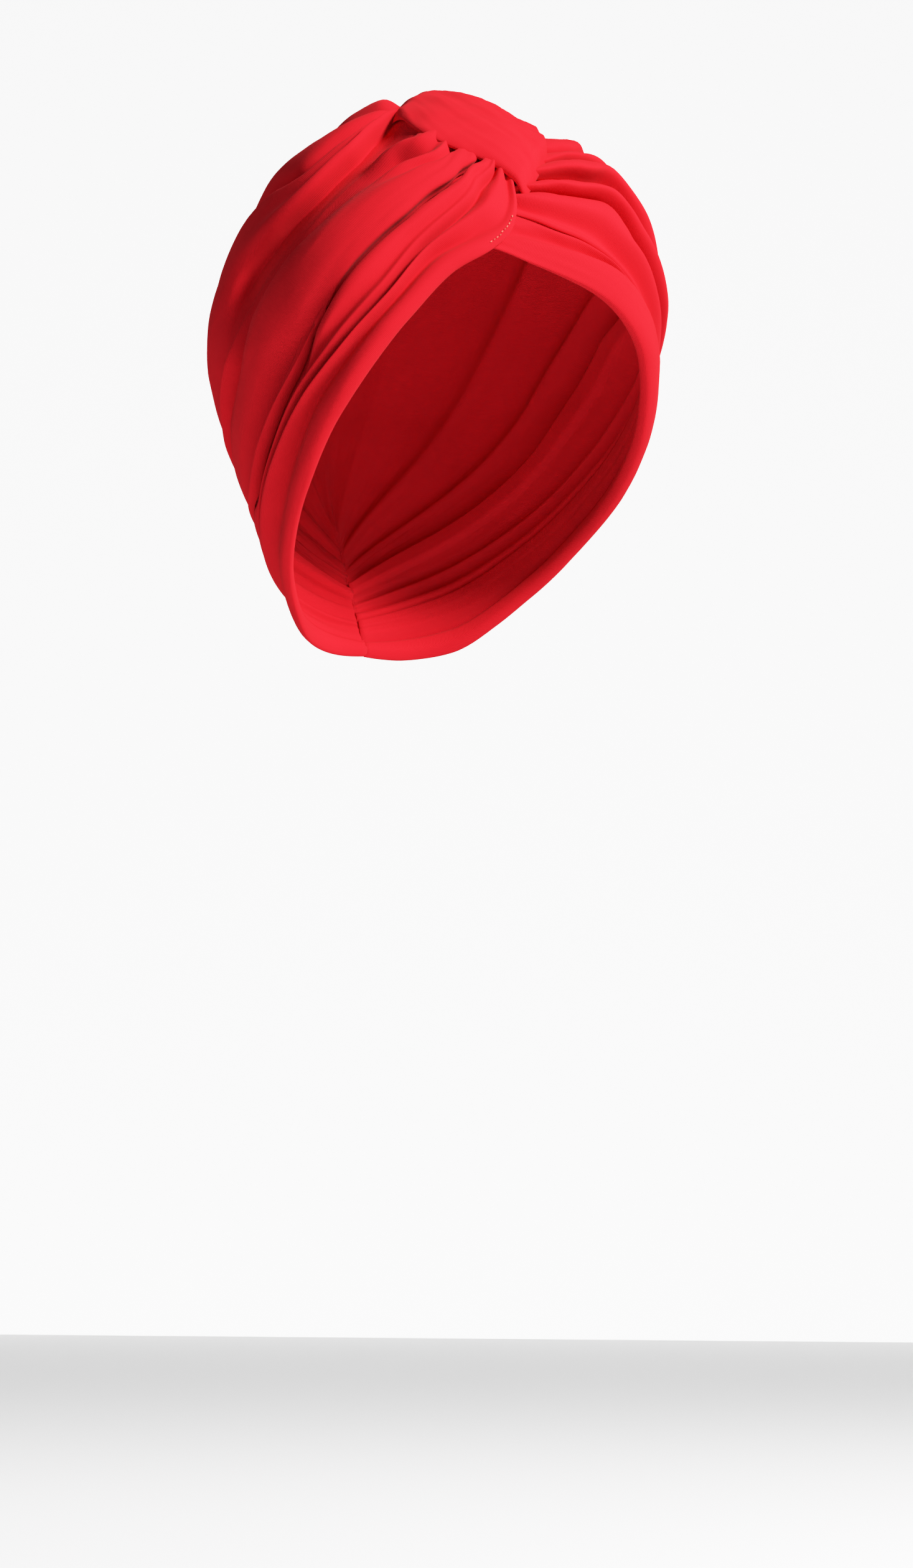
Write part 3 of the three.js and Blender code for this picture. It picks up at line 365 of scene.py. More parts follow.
CROWN_RIGHT = [
    fold("turned edge", "sharp",
         [0.155, 0.195, 0.264, 0.264, 0.246, 0.256, 0.242, 0.205, 0.205, 0.21, 0.29, 0.345, 0.365],
         FLAT, ONCE),
    fold("lower edge", "round",
         [0.132, 0.166, 0.236, 0.238, 0.217, 0.226, 0.208, 0.168, 0.17, 0.175, 0.26, 0.316, 0.336],
         FLAT, HALF),
    fold("lower roll", "round",
         [0.13, 0.163, 0.232, 0.234, 0.213, 0.222, 0.206, 0.176, 0.183, 0.192, 0.275, 0.33, 0.352],
         [0.08, 0.14, 0.2, 0.22, 0.22, 0.22, 0.26, 0.52, 0.56, 0.44, 0.16, 0.1, 0.1],
         HALF),
    fold("trough", "round",
         [0.136, 0.158, 0.22, 0.222, 0.2, 0.21, 0.203, 0.196, 0.204, 0.224, 0.295, 0.35, 0.375],
         [0.2, 0.48, 0.66, 0.76, 0.78, 0.72, 0.24, -0.04, 0.04, 0.18, 0.12, 0.12, 0.12]),
    fold("big roll", "round",
         [0.158, 0.19, 0.245, 0.25, 0.234, 0.248, 0.248, 0.262, 0.268, 0.29, 0.34, 0.39, 0.42],
         [0.26, 0.6, 0.84, 0.96, 1, 0.98, 0.88, 0.74, 0.6, 0.4, 0.26, 0.22, 0.22]),
    fold("shoulder", "round",
         [0.2, 0.25, 0.285, 0.302, 0.295, 0.318, 0.336, 0.345, 0.335, 0.355, 0.4, 0.44, 0.47],
         [0.22, 0.48, 0.76, 0.94, 1.06, 1.1, 1.04, 0.92, 0.64, 0.42, 0.3, 0.26, 0.24]),
    fold("short crease", "round",
         [0.24, 0.275, 0.3, 0.322, 0.33, 0.348, 0.37, 0.375, 0.352, 0.37, 0.41, 0.45, 0.48],
         [0.1, 0.22, 0.46, 0.66, 0.86, 0.96, 0.9, 0.76, 0.46, 0.36, 0.24, 0.22, 0.22]),
    fold("upper lobe", "round",
         [0.27, 0.3, 0.322, 0.352, 0.36, 0.376, 0.395, 0.392, 0.362, 0.38, 0.42, 0.46, 0.49],
         [0.26, 0.52, 0.78, 0.8, 0.62, 0.66, 0.62, 0.56, 0.4, 0.34, 0.22, 0.2, 0.2]),
    fold("hollow", "round",
         [0.31, 0.34, 0.366, 0.405, 0.414, 0.424, 0.432, 0.412, 0.372, 0.39, 0.43, 0.47, 0.5],
         [0.46, 0.7, 0.46, 0.02, 0.06, 0.08, 0.1, 0.28, 0.34, 0.32, 0.2, 0.18, 0.18]),
    fold("second ridge", "round",
         [0.34, 0.365, 0.408, 0.455, 0.462, 0.462, 0.468, 0.452, 0.394, 0.405, 0.445, 0.485, 0.515],
         [0.34, 0.68, 0.82, 0.58, 0.08, 0.02, 0.02, 0.28, 0.9, 0.6, 0.3, 0.24, 0.22]),
    fold("behind it", "round",
         [0.4, 0.43, 0.47, 0.51, 0.492, 0.484, 0.492, 0.486, 0.416, 0.428, 0.47, 0.51, 0.545],
         [0.46, 0.74, 0.48, 0.06, -0.02, -0.04, -0.04, 0.02, 0.34, 0.34, 0.18, 0.16, 0.16]),
    fold("under the long ridge", "sharp",
         [0.5, 0.582, 0.668, 0.606, 0.54, 0.521, 0.53, 0.538, 0.47, 0.48, 0.51, 0.56, 0.6],
         [0.46, 0.74, 0.44, 0.02, -0.06, -0.06, -0.06, 0, 0.5, 0.4, 0.2, 0.18, 0.2]),
    fold("lip of the long ridge", "round",
         [0.496, 0.567, 0.645, 0.582, 0.516, 0.497, 0.507, 0.524, 0.5, 0.5, 0.53, 0.575, 0.62],
         [0.46, 0.76, 0.72, 0.7, 0.76, 0.76, 0.74, 0.7, 0.72, 0.5, 0.3, 0.26, 0.26]),
    fold("long ridge", "round",
         [0.51, 0.58, 0.655, 0.592, 0.526, 0.508, 0.518, 0.538, 0.54, 0.53, 0.56, 0.6, 0.65],
         [0.46, 0.76, 0.78, 0.88, 0.94, 0.96, 0.96, 0.94, 0.96, 0.66, 0.4, 0.32, 0.28]),
    fold("slope behind it", "round",
         [0.53, 0.597, 0.668, 0.612, 0.55, 0.532, 0.556, 0.59, 0.6, 0.58, 0.6, 0.63, 0.68],
         [0.4, 0.54, 0.52, 0.62, 0.68, 0.68, 0.82, 0.94, 0.92, 0.6, 0.36, 0.3, 0.22]),
    fold("third ridge", "round",
         [0.545, 0.61, 0.68, 0.63, 0.58, 0.563, 0.612, 0.65, 0.66, 0.64, 0.65, 0.67, 0.71],
         [0.3, 0.42, 0.5, 0.7, 0.78, 0.84, 0.9, 0.84, 0.66, 0.42, 0.3, 0.24, 0.18]),
    fold("crease behind it", "sharp",
         [0.56, 0.625, 0.69, 0.645, 0.602, 0.585, 0.638, 0.68, 0.69, 0.68, 0.69, 0.71, 0.74],
         [0.1, 0.16, 0.24, 0.3, 0.14, 0.06, 0.06, 0.1, 0.16, 0.2, 0.2, 0.2, 0.16]),
    fold("edge of the second pouf", "round",
         [0.58, 0.64, 0.702, 0.66, 0.625, 0.6, 0.66, 0.71, 0.72, 0.72, 0.73, 0.75, 0.77],
         [0.14, 0.24, 0.46, 0.78, 0.84, 0.78, 0.7, 0.62, 0.5, 0.44, 0.4, 0.34, 0.26]),
    fold("second pouf", "round",
         [0.61, 0.665, 0.716, 0.69, 0.655, 0.68, 0.735, 0.785, 0.8, 0.8, 0.8, 0.81, 0.82],
         [0.12, 0.22, 0.42, 0.74, 0.92, 0.9, 0.88, 0.78, 0.64, 0.56, 0.5, 0.42, 0.32]),
    fold("crease by the top", "sharp",
         [0.68, 0.72, 0.742, 0.738, 0.72, 0.765, 0.8, 0.84, 0.87, 0.88, 0.885, 0.89, 0.905],
         [0.06, 0.12, 0.16, 0.14, 0.06, 0.12, 0.2, 0.3, 0.34, 0.34, 0.32, 0.3, 0.22]),
    fold("top pouf", "round",
         [0.76, 0.79, 0.8, 0.8, 0.815, 0.842, 0.87, 0.9, 0.925, 0.94, 0.942, 0.945, 0.95],
         [0.08, 0.14, 0.4, 1, 1, 0.88, 0.76, 0.66, 0.6, 0.54, 0.48, 0.42, 0.34]),
]

CREST_LINE = fold("crest line", "round", ONCE,
                  [0.06, 0.1, 0.3, 0.66, 0.7, 0.7, 0.62, 0.54, 0.48, 0.44, 0.4, 0.36, 0.3])

CROWN_LEFT = [
    fold("turned edge", "sharp",
         [0.222, 0.268, 0.33, 0.39, 0.358, 0.345, 0.382, 0.43, 0.424, 0.398, 0.388, 0.395, 0.41],
         FLAT, ONCE),
    fold("lower edge", "round",
         [0.206, 0.248, 0.306, 0.366, 0.334, 0.32, 0.356, 0.402, 0.4, 0.374, 0.364, 0.372, 0.385],
         FLAT, HALF),
    fold("lower roll", "round",
         [0.207, 0.246, 0.304, 0.365, 0.333, 0.322, 0.361, 0.41, 0.41, 0.384, 0.374, 0.384, 0.398],
         [0, 0.1, 0.24, 0.3, 0.36, 0.4, 0.36, 0.3, 0.26, 0.2, 0.14, 0.12, 0.1],
         HALF),
    fold("big roll", "round",
         [0.213, 0.246, 0.297, 0.36, 0.332, 0.327, 0.373, 0.43, 0.434, 0.42, 0.416, 0.43, 0.45],
         [0.2, 0.62, 0.94, 1.08, 1.08, 0.98, 0.86, 0.72, 0.58, 0.42, 0.34, 0.3, 0.26]),
    fold("big slope", "round",
         [0.236, 0.282, 0.35, 0.412, 0.404, 0.41, 0.446, 0.486, 0.5, 0.484, 0.48, 0.49, 0.508],
         [0.14, 0.5, 0.76, 0.86, 0.84, 0.76, 0.68, 0.58, 0.48, 0.38, 0.3, 0.26, 0.22]),
    fold("pleat hollow", "sharp",
         [0.261, 0.316, 0.4, 0.453, 0.463, 0.482, 0.51, 0.538, 0.548, 0.528, 0.522, 0.532, 0.547],
         [0, -0.04, -0.08, -0.02, 0.04, 0.12, 0.2, 0.24, 0.24, 0.22, 0.2, 0.2, 0.16]),
    fold("pleat by the band", "round",
         [0.268, 0.314, 0.394, 0.446, 0.46, 0.484, 0.516, 0.548, 0.566, 0.55, 0.545, 0.555, 0.57],
         [0.1, 0.4, 0.66, 0.8, 0.82, 0.78, 0.72, 0.66, 0.6, 0.5, 0.44, 0.38, 0.3]),
    fold("pleat slope", "round",
         [0.32, 0.365, 0.432, 0.508, 0.54, 0.58, 0.62, 0.64, 0.645, 0.635, 0.63, 0.64, 0.65],
         [0.08, 0.3, 0.5, 0.6, 0.64, 0.62, 0.58, 0.54, 0.48, 0.4, 0.34, 0.3, 0.24]),
    fold("deep pleat", "sharp",
         [0.35, 0.395, 0.45, 0.54, 0.58, 0.63, 0.67, 0.69, 0.69, 0.682, 0.68, 0.69, 0.7],
         [0, -0.02, -0.02, 0.04, 0.1, 0.16, 0.2, 0.24, 0.26, 0.24, 0.22, 0.2, 0.18]),
    fold("upper pleat", "round",
         [0.36, 0.402, 0.46, 0.552, 0.594, 0.645, 0.686, 0.706, 0.712, 0.71, 0.71, 0.72, 0.73],
         [0.1, 0.3, 0.54, 0.7, 0.78, 0.78, 0.74, 0.68, 0.6, 0.52, 0.46, 0.42, 0.32]),
    fold("crease by the top", "sharp",
         [0.5, 0.54, 0.6, 0.7, 0.75, 0.79, 0.83, 0.852, 0.858, 0.86, 0.86, 0.865, 0.87],
         [0, 0.03, 0.14, 0.34, 0.42, 0.44, 0.44, 0.42, 0.38, 0.34, 0.3, 0.28, 0.22]),
    fold("top pleat", "round",
         [0.74, 0.76, 0.78, 0.82, 0.85, 0.875, 0.9, 0.92, 0.93, 0.93, 0.932, 0.935, 0.94],
         [0, 0.05, 0.26, 0.6, 0.74, 0.78, 0.72, 0.64, 0.58, 0.52, 0.46, 0.42, 0.34]),
]

# Widths of the band in millimetres at the paths of BAND_GUIDES, and its ribs: kind,
# share of the width, and height at those paths as a share of BAND_RELIEF
BAND_WIDTHS = [26, 34, 46, 66, 84, 100, 112]
BAND_RIBS = [
    ("sharp", 0.07, [0.0, 0.44, 0.48, 0.5, 0.52, 0.56, 0.1]),
    ("round", 0.012, [0.02, 0.46, 0.5, 0.52, 0.54, 0.58, 0.1]),
    ("round", 0, [0.1, 0.58, 0.62, 0.64, 0.64, 0.68, 0.16]),
    ("round", 0.02, [0.2, 0.72, 0.76, 0.76, 0.76, 0.8, 0.2]),
    ("round", 0.1, [0.24, 0.8, 0.86, 0.84, 0.84, 0.86, 0.24]),
    ("round", 0.24, [0.3, 0.88, 0.96, 0.98, 0.98, 0.98, 0.3]),
    ("round", 0.3, [0.3, 0.86, 0.94, 0.95, 0.95, 0.96, 0.3]),
    ("round", 0.38, [0.32, 0.88, 0.96, 0.98, 1, 1, 0.3]),
    ("round", 0.5, [0.3, 0.84, 0.86, 0.84, 0.84, 0.88, 0.28]),
    ("round", 0.6, [0.3, 0.82, 0.82, 0.72, 0.68, 0.72, 0.26]),
    ("round", 0.7, [0.28, 0.8, 0.78, 0.62, 0.52, 0.6, 0.26]),
    ("round", 0.84, [0.26, 0.76, 0.68, 0.46, 0.38, 0.46, 0.24]),
    ("round", 0.97, [0.2, 0.7, 0.58, 0.42, 0.36, 0.42, 0.2]),
    ("round", 1, [0.1, 0.6, 0.46, 0.34, 0.28, 0.34, 0.16]),
    ("round", 0.985, [0.02, 0.5, 0.38, 0.26, 0.2, 0.26, 0.1]),
    ("sharp", 0.93, [0.0, 0.48, 0.36, 0.24, 0.18, 0.24, 0.1]),
]


def through(stations, values, x):
    """Monotone curve through values, whose first axis runs along the stations."""
    s = np.asarray(stations, float)
    v = np.asarray(values, float)
    x = np.clip(np.asarray(x, float), s[0], s[-1])
    extra = (1,) * (v.ndim - 1)
    span = np.diff(s).reshape((-1,) + extra)
    grade = np.diff(v, axis=0) / span
    before, after = grade[:-1], grade[1:]
    wa = 2 * span[1:] + span[:-1]
    wb = span[1:] + 2 * span[:-1]
    with np.errstate(divide="ignore", invalid="ignore"):
        mean = (wa + wb) / (wa / before + wb / after)
    inner = np.where(before * after > 0, mean, 0.0)
    slope = np.concatenate([grade[:1], inner, grade[-1:]])
    i = np.clip(np.searchsorted(s, x, side="right") - 1, 0, len(s) - 2)
    width = np.diff(s)[i].reshape(x.shape + extra)
    t = ((x - s[i]) / np.diff(s)[i]).reshape(x.shape + extra)
    r = 1 - t
    return (v[i] * r * r * (1 + 2 * t) + v[i + 1] * t * t * (3 - 2 * t)
            + width * (slope[i] * t * r * r - slope[i + 1] * t * t * r))


def direction(turn, rise):
    """Unit vectors from the hollow's centre, from degrees round from the front and above the level."""
    a, e = np.radians(turn), np.radians(rise)
    return np.stack([np.sin(a) * np.cos(e), -np.cos(a) * np.cos(e), np.sin(e)], -1)


def blend(first, pull, second, share, strength):
    """Directions between first and second, pulled towards the middle one."""
    q = share[..., None]
    d = (1 - q) ** 2 * first + 2 * q * (1 - q) * strength * pull + q * q * second
    return d / np.linalg.norm(d, axis=-1, keepdims=True)


def fold_direction(side, place, path):
    """Directions of places on one side's folds: place 0 at the hem, 1 at the line over the top."""
    guides = np.array(RIGHT_GUIDES if side == RIGHT else LEFT_GUIDES, float)
    f = through(guides[:, 0], guides[:, 1:], path)
    hem = direction(f[..., 0], f[..., 1])
    swell = direction(f[..., 2], f[..., 3])
    crest = direction(180, f[..., 4])
    return blend(hem, swell, crest, place, SIDE_PULL) * np.array([side, 1, 1])


def band_direction(across, path):
    """Directions of places on the knot band: across 0 at its right edge, 1 at the far one."""
    guides = np.array(BAND_GUIDES, float)
    f = through(guides[:, 0], guides[:, 1:], path)
    return blend(direction(f[..., 0], f[..., 1]), direction(f[..., 2], f[..., 3]),
                 direction(f[..., 4], f[..., 5]), across, 1)


def hollow_radius(way):
    """Distance in millimetres from the hollow's centre to its surface along each direction."""
    low = np.zeros(way.shape[:-1])
    high = np.full(way.shape[:-1], float(HOLLOW_WIDTH + HOLLOW_BACK + NAPE_DROP))
    drops = np.array(NARROW_DROPS) * NAPE_DROP
    depth = np.where(way[..., 1] < 0, HOLLOW_FRONT, HOLLOW_BACK)
    for _ in range(HALVINGS):
        middle = (low + high) / 2
        z = way[..., 2] * middle
        narrowed = through(drops, NARROW_WIDTHS, np.maximum(-z, 0))
        inside = (np.abs(way[..., 0] * middle) / (HOLLOW_WIDTH / 2 * narrowed)) ** ROUNDNESS
        inside += (np.abs(way[..., 1] * middle) / (depth * narrowed)) ** ROUNDNESS
        inside += (np.maximum(z, 0) / CROWN_RISE) ** ROUNDNESS
        low = np.where(inside < 1, middle, low)
        high = np.where(inside < 1, high, middle)
    return low


def over_hollow(way, height):
    """Points in metres in the frame, at a height in millimetres over the hollow."""
    p = way * (hollow_radius(way) + height)[..., None]
    p[..., 2] -= CROWN_RISE
    return p * MM


def cross_section(points, kinds, share):
    """Smooth curve through rows of 2D points, one curve per column; sharp rows are corners.

    points has the shape (rows, columns, 2), and share runs from 0 to rows - 1."""
    chord = np.linalg.norm(np.diff(points, axis=0), axis=-1, keepdims=True)
    k = np.sqrt(np.maximum(chord, SHORTEST_CHORD))
    rate = np.diff(points, axis=0) / k
    rows = len(points)
    into = np.zeros_like(points)
    out = np.zeros_like(points)
    for i in range(1, rows - 1):
        across = (points[i + 1] - points[i - 1]) / (k[i - 1] + k[i])
        into[i] = out[i] = rate[i - 1] - across + rate[i]
    # Each side of a corner runs up to it without a bend of its own
    sharp = [i for i, kind in enumerate(kinds) if kind == "sharp"]
    for i in sharp:
        if i > 0:
            into[i] = rate[i - 1] if i - 1 in sharp else 1.5 * rate[i - 1] - 0.5 * out[i - 1]
    for i in sharp:
        if i < rows - 1:
            out[i] = rate[i] if i + 1 in sharp else 1.5 * rate[i] - 0.5 * into[i + 1]
    i = np.clip(share.astype(int), 0, rows - 2)
    t = (share - i)[:, None, None]
    r = 1 - t
    return (points[i] * r * r * (1 + 2 * t) + points[i + 1] * t * t * (3 - 2 * t)
            + k[i] * (out[i] * t * r * r - into[i + 1] * t * t * r))


def row_shares(points, step):
    """Places along the rows so that the cut lines lie about a step apart where the rows spread most."""
    lengths = np.linalg.norm(np.diff(points, axis=0), axis=-1).max(axis=1)
    shares = []
    for i, length in enumerate(lengths):
        n = int(np.clip(round(length / step), FEWEST_CUTS, MOST_CUTS))
        shares += [i + j / n for j in range(n)]
    return np.array(shares + [float(len(points) - 1)])


def noise_field(seed, waves, size):
    """A smooth random function of two coordinates in millimetres, from waves of about one size."""
    rng = np.random.default_rng(seed)
    angle = rng.uniform(0, 2 * math.pi, waves)
    phase = rng.uniform(0, 2 * math.pi, waves)
    length = size * rng.uniform(*WAVE_SPREAD, waves)

    def at(x, y):
        total = np.zeros(np.broadcast(x, y).shape)
        for a, p, n in zip(angle, phase, length):
            total += np.sin((x * math.cos(a) + y * math.sin(a)) * 2 * math.pi / n + p)
        return total / math.sqrt(waves)
    return at


def ripples(kind, seed, along, across):
    """Heights in millimetres of one kind of small wrinkle that runs with the folds."""
    depth, size, stretch, waves = kind
    return depth * noise_field(seed, waves, size)(along / stretch, across)


def edge_fade(curve, lines):
    """Shares that let the wrinkles run out over some cut lines at both edges."""
    line = np.arange(len(curve))
    return np.clip(np.minimum(line, line[::-1]) / lines, 0, 1)[:, None]


def drape_paths(columns):
    """Paths of the columns of a drape, closer together by the knot."""
    share = np.linspace(0, 1, columns)
    return share * (1 - KNOT_CROWDING + KNOT_CROWDING * share)


def row_points(rows, paths, relief):
    """Fold rows as points of the cross-sections: distance from the hem and height, in millimetres.

    The folds run out where the seam at the centre back holds them flat."""
    calm = np.clip((paths - SEAM_START) / SEAM_STRETCH, 0, 1) ** 2
    points = []
    for row in rows:
        reach = through(STATIONS, row["at"], paths) * HEM_TO_CREST
        lift = HOLLOW_GAP + FIRST_LAYER + through(STATIONS, row["over"], paths) * CLOTH_LAYER
        rise = through(STATIONS, row["rise"], paths)
        rise = np.where(rise > SEAM_RISE, rise + (SEAM_RISE - rise) * calm, rise)
        lift = lift + rise * relief
        points.append(np.stack([reach, lift], -1))
    return np.array(points)


def soften(curve):
    """Rounds a curve a little, and leaves its two ends where they are."""
    curve[1:-1] = (curve[:-2] + 2 * curve[1:-1] + curve[2:]) / 4
    return curve


def cloth_curve(points, kinds, paths, settings, seed):
    """Cross-section curve of a drape or the crown, with wrinkles that are deeper by the knot."""
    shares = row_shares(points, settings.facet / MM)
    curve = soften(cross_section(points, kinds, shares))
    reach = curve[..., 0]
    along = np.broadcast_to(paths * DRAPE_LENGTH, reach.shape)
    lift = ripples(BROAD_WRINKLES, seed, along, reach) + ripples(FINE_WRINKLES, seed + 1, along, reach)
    lift += np.exp(-along / GATHER_LENGTH) * ripples(GATHERED_WRINKLES, seed + 2, along, reach)
    curve[..., 1] += settings.wrinkles * lift * edge_fade(curve, DRAPE_FADE)
    return curve


def place_cloth(curve, paths, side):
    """Points in metres of a cross-section curve, laid over the hollow on one side or on both."""
    reach = curve[..., 0] / HEM_TO_CREST
    path = np.broadcast_to(paths, reach.shape)
    if side == BOTH:
        right = fold_direction(RIGHT, np.minimum(reach, 1), path)
        left = fold_direction(LEFT, np.minimum(2 - reach, 1), path)
        way = np.where(reach[..., None] <= 1, right, left)
    else:
        way = fold_direction(side, reach, path)
    points = over_hollow(way, curve[..., 1])
    across = np.where(reach[:, -1] <= 1, RIGHT, LEFT) if side == BOTH else side
    points[:, -1, 0] -= across * SEAM_LAP * MM
    return points


def drape(rows, side, settings, seed):
    """Paths, cross-section curve and points of one drape."""
    paths = drape_paths(DRAPE_COLUMNS)
    points = row_points(rows, paths, settings.fold_relief / MM)
    curve = cloth_curve(points, [row["kind"] for row in rows], paths, settings, seed)
    return paths, curve, place_cloth(curve, paths, side)


def crown_cloth(settings, seed):
    """Points of the crown, from its right edge over the top to its left edge."""
    paths = drape_paths(CROWN_COLUMNS)
    right = CROWN_RIGHT + [CREST_LINE]
    left = CROWN_LEFT[::-1]
    beyond = row_points(left, paths, settings.fold_relief / MM)
    beyond[..., 0] = 2 * HEM_TO_CREST - beyond[..., 0]
    points = np.concatenate([row_points(right, paths, settings.fold_relief / MM), beyond])
    curve = cloth_curve(points, [row["kind"] for row in right + left], paths, settings, seed)
    return place_cloth(curve, paths, BOTH)


def band_cloth(settings, seed):
    """Points of the knot band, from its pinched front end to where it dives into the crown."""
    guides = [row[0] for row in BAND_GUIDES]
    paths = np.linspace(0, 1, BAND_COLUMNS) ** BAND_CROWDING
    width = through(guides, BAND_WIDTHS, paths)
    points = []
    for _, across, rise in BAND_RIBS:
        height = HOLLOW_GAP + FIRST_LAYER + through(guides, rise, paths) * BAND_RELIEF
        points.append(np.stack([across * width, height], -1))
    points = np.array(points)
    shares = row_shares(points, settings.facet / MM)
    curve = soften(cross_section(points, [rib[0] for rib in BAND_RIBS], shares))
    along = np.broadcast_to(paths * BAND_LENGTH, curve.shape[:2])
    lift = ripples(BAND_WRINKLES, seed, along, curve[..., 0])
    lift += ripples(FINE_BAND_WRINKLES, seed + 1, along, curve[..., 0])
    curve[..., 1] += settings.wrinkles * lift * edge_fade(curve, BAND_FADE)
    across = curve[..., 0] / width
    return over_hollow(band_direction(across, np.broadcast_to(paths, across.shape)), curve[..., 1])


def weave_map(points):
    """Place of every point on the flat cloth in metres: along its path, and across."""
    along = np.linalg.norm(np.diff(points, axis=1), axis=-1)
    along = np.concatenate([np.zeros((len(points), 1)), np.cumsum(along, axis=1)], 1)
    across = np.linalg.norm(np.diff(points, axis=0), axis=-1)
    across = np.concatenate([np.zeros((1, points.shape[1])), np.cumsum(across, axis=0)])
    return np.stack([along, across], -1)


def link(name, data):
    """A new object in the scene, in the place of an older one of the same name."""
    old = bpy.data.objects.get(name)
    if old:
        bpy.data.objects.remove(old, do_unlink=True)
    obj = bpy.data.objects.new(name, data)
    bpy.context.scene.collection.objects.link(obj)
    return obj


def new_mesh(name, bm, finish):
    """A mesh from a bmesh, which it frees, in one finish."""
    mesh = bpy.data.meshes.new(name)
    bm.to_mesh(mesh)
    bm.free()
    mesh.materials.append(finish)
    return mesh


def cloth_object(name, points, thickness, finish):
    """A sheet of cloth from a grid of points, with a little thickness on its inner side."""
    rows, columns = points.shape[:2]
    bm = bmesh.new()
    bmesh.ops.create_grid(bm, x_segments=columns - 1, y_segments=rows - 1, size=1)
    mesh = new_mesh(name, bm, finish)
    if len(mesh.vertices) != rows * columns:
        raise RuntimeError(f"{name}: the grid has {len(mesh.vertices)} points and not {rows * columns}")
    spots = np.empty(len(mesh.vertices) * 3)
    mesh.vertices.foreach_get("co", spots)
    spots = spots.reshape(-1, 3)[:, :2]
    spots = (spots - spots.min(0)) / (spots.max(0) - spots.min(0))
    j = np.rint(spots[:, 0] * (columns - 1)).astype(int)
    i = np.rint(spots[:, 1] * (rows - 1)).astype(int)
    mesh.vertices.foreach_set("co", points[i, j].ravel())
    corners = np.empty(len(mesh.loops), int)
    mesh.loops.foreach_get("vertex_index", corners)
    weave = mesh.uv_layers.get("weave") or mesh.uv_layers.new(name="weave")
    weave.data.foreach_set("uv", weave_map(points)[i, j][corners].ravel())
    mesh.update()
    middle = mesh.polygons[len(mesh.polygons) // 2]
    if (middle.center - CENTRE).dot(middle.normal) < 0:
        mesh.flip_normals()
    mesh.shade_smooth()
    obj = link(name, mesh)
    body = obj.modifiers.new("thickness", "SOLIDIFY")
    body.thickness = thickness
    body.offset = -1
    return obj


def stitches_object(name, paths, curve, points, finish):
    """Short stitches in a row beside the edge of the right drape's rounded corner."""
    edge = int(np.argmin(curve[:, EDGE_COLUMN, 0]))
    bm = bmesh.new()
    for path in np.linspace(*STITCH_SPAN, STITCHES):
        j = int(np.searchsorted(paths, path))
        i = edge + int(np.argmax(curve[edge:, j, 0] > STITCH_INSET))
        along = Vector(points[i, j + 1] - points[i, j - 1]).normalized()
        out = (Vector(points[i, j]) - CENTRE).normalized()
        spot = Vector(points[i, j]) + out * (STITCH_LIFT * MM)
        turn = Vector((0, 0, 1)).rotation_difference(along).to_matrix().to_4x4()
        size = Matrix.Diagonal([half * MM for half in STITCH_SIZE] + [1])
        bmesh.ops.create_uvsphere(bm, u_segments=10, v_segments=8, radius=1,
                                  matrix=Matrix.Translation(spot) @ turn @ size)
    mesh = new_mesh(name, bm, finish)
    mesh.shade_smooth()
    return link(name, mesh)


def node(tree, kind, x, y, **values):
    """Adds a shader node. A value that starts with in_ goes to the input of that name."""
    made = tree.nodes.new(kind)
    made.location = (x, y)
    for key, value in values.items():
        if key.startswith("in_"):
            made.inputs[key[3:].replace("_", " ")].default_value = value
        else:
            setattr(made, key, value)
    return made


def jersey(name, colour, knit_depth):
    """Matt stretch jersey: fine wales along the cloth, with a little uneven dye and a soft sheen."""
    material = bpy.data.materials.get(name + "_knit") or bpy.data.materials.new(name + "_knit")
    material.use_nodes = True
    tree = material.node_tree
    tree.nodes.clear()
    output = node(tree, "ShaderNodeOutputMaterial", 900, 0)
    shader = node(tree, "ShaderNodeBsdfPrincipled", 600, 0, in_Roughness=CLOTH_ROUGHNESS,
                  in_Sheen_Weight=CLOTH_SHEEN, in_Sheen_Roughness=SHEEN_ROUGHNESS,
                  in_Specular_IOR_Level=0.0)
    tree.links.new(shader.outputs[0], output.inputs["Surface"])
    spot = node(tree, "ShaderNodeTexCoord", -900, 200)
    dye = node(tree, "ShaderNodeTexNoise", -600, 200, in_Scale=DYE_SCALE, in_Detail=3)
    tree.links.new(spot.outputs["Object"], dye.inputs["Vector"])
    shade = node(tree, "ShaderNodeValToRGB", -300, 200)
    for stop, place, share in zip(shade.color_ramp.elements, DYE_STOPS, (DARKEST_DYE, 1)):
        stop.position = place
        stop.color = tuple(c * share for c in colour) + (1,)
    tree.links.new(dye.outputs["Fac"], shade.inputs["Fac"])
    tree.links.new(shade.outputs["Color"], shader.inputs["Base Color"])
    weave = node(tree, "ShaderNodeUVMap", -900, -200, uv_map="weave")
    wales = node(tree, "ShaderNodeTexWave", -600, -200, in_Scale=WALE_SCALE,
                 in_Distortion=WALE_WANDER, bands_direction="X")
    courses = node(tree, "ShaderNodeTexWave", -600, -500, in_Scale=COURSE_SCALE,
                   in_Distortion=COURSE_WANDER, bands_direction="Y")
    tree.links.new(weave.outputs["UV"], wales.inputs["Vector"])
    tree.links.new(weave.outputs["UV"], courses.inputs["Vector"])
    both = node(tree, "ShaderNodeMath", -300, -300, operation="MULTIPLY_ADD")
    both.inputs[1].default_value = 0.5
    tree.links.new(courses.outputs["Fac"], both.inputs[0])
    tree.links.new(wales.outputs["Fac"], both.inputs[2])
    bump = node(tree, "ShaderNodeBump", 300, -300, in_Strength=0.5, in_Distance=knit_depth)
    tree.links.new(both.outputs[0], bump.inputs["Height"])
    tree.links.new(bump.outputs["Normal"], shader.inputs["Normal"])
    return material


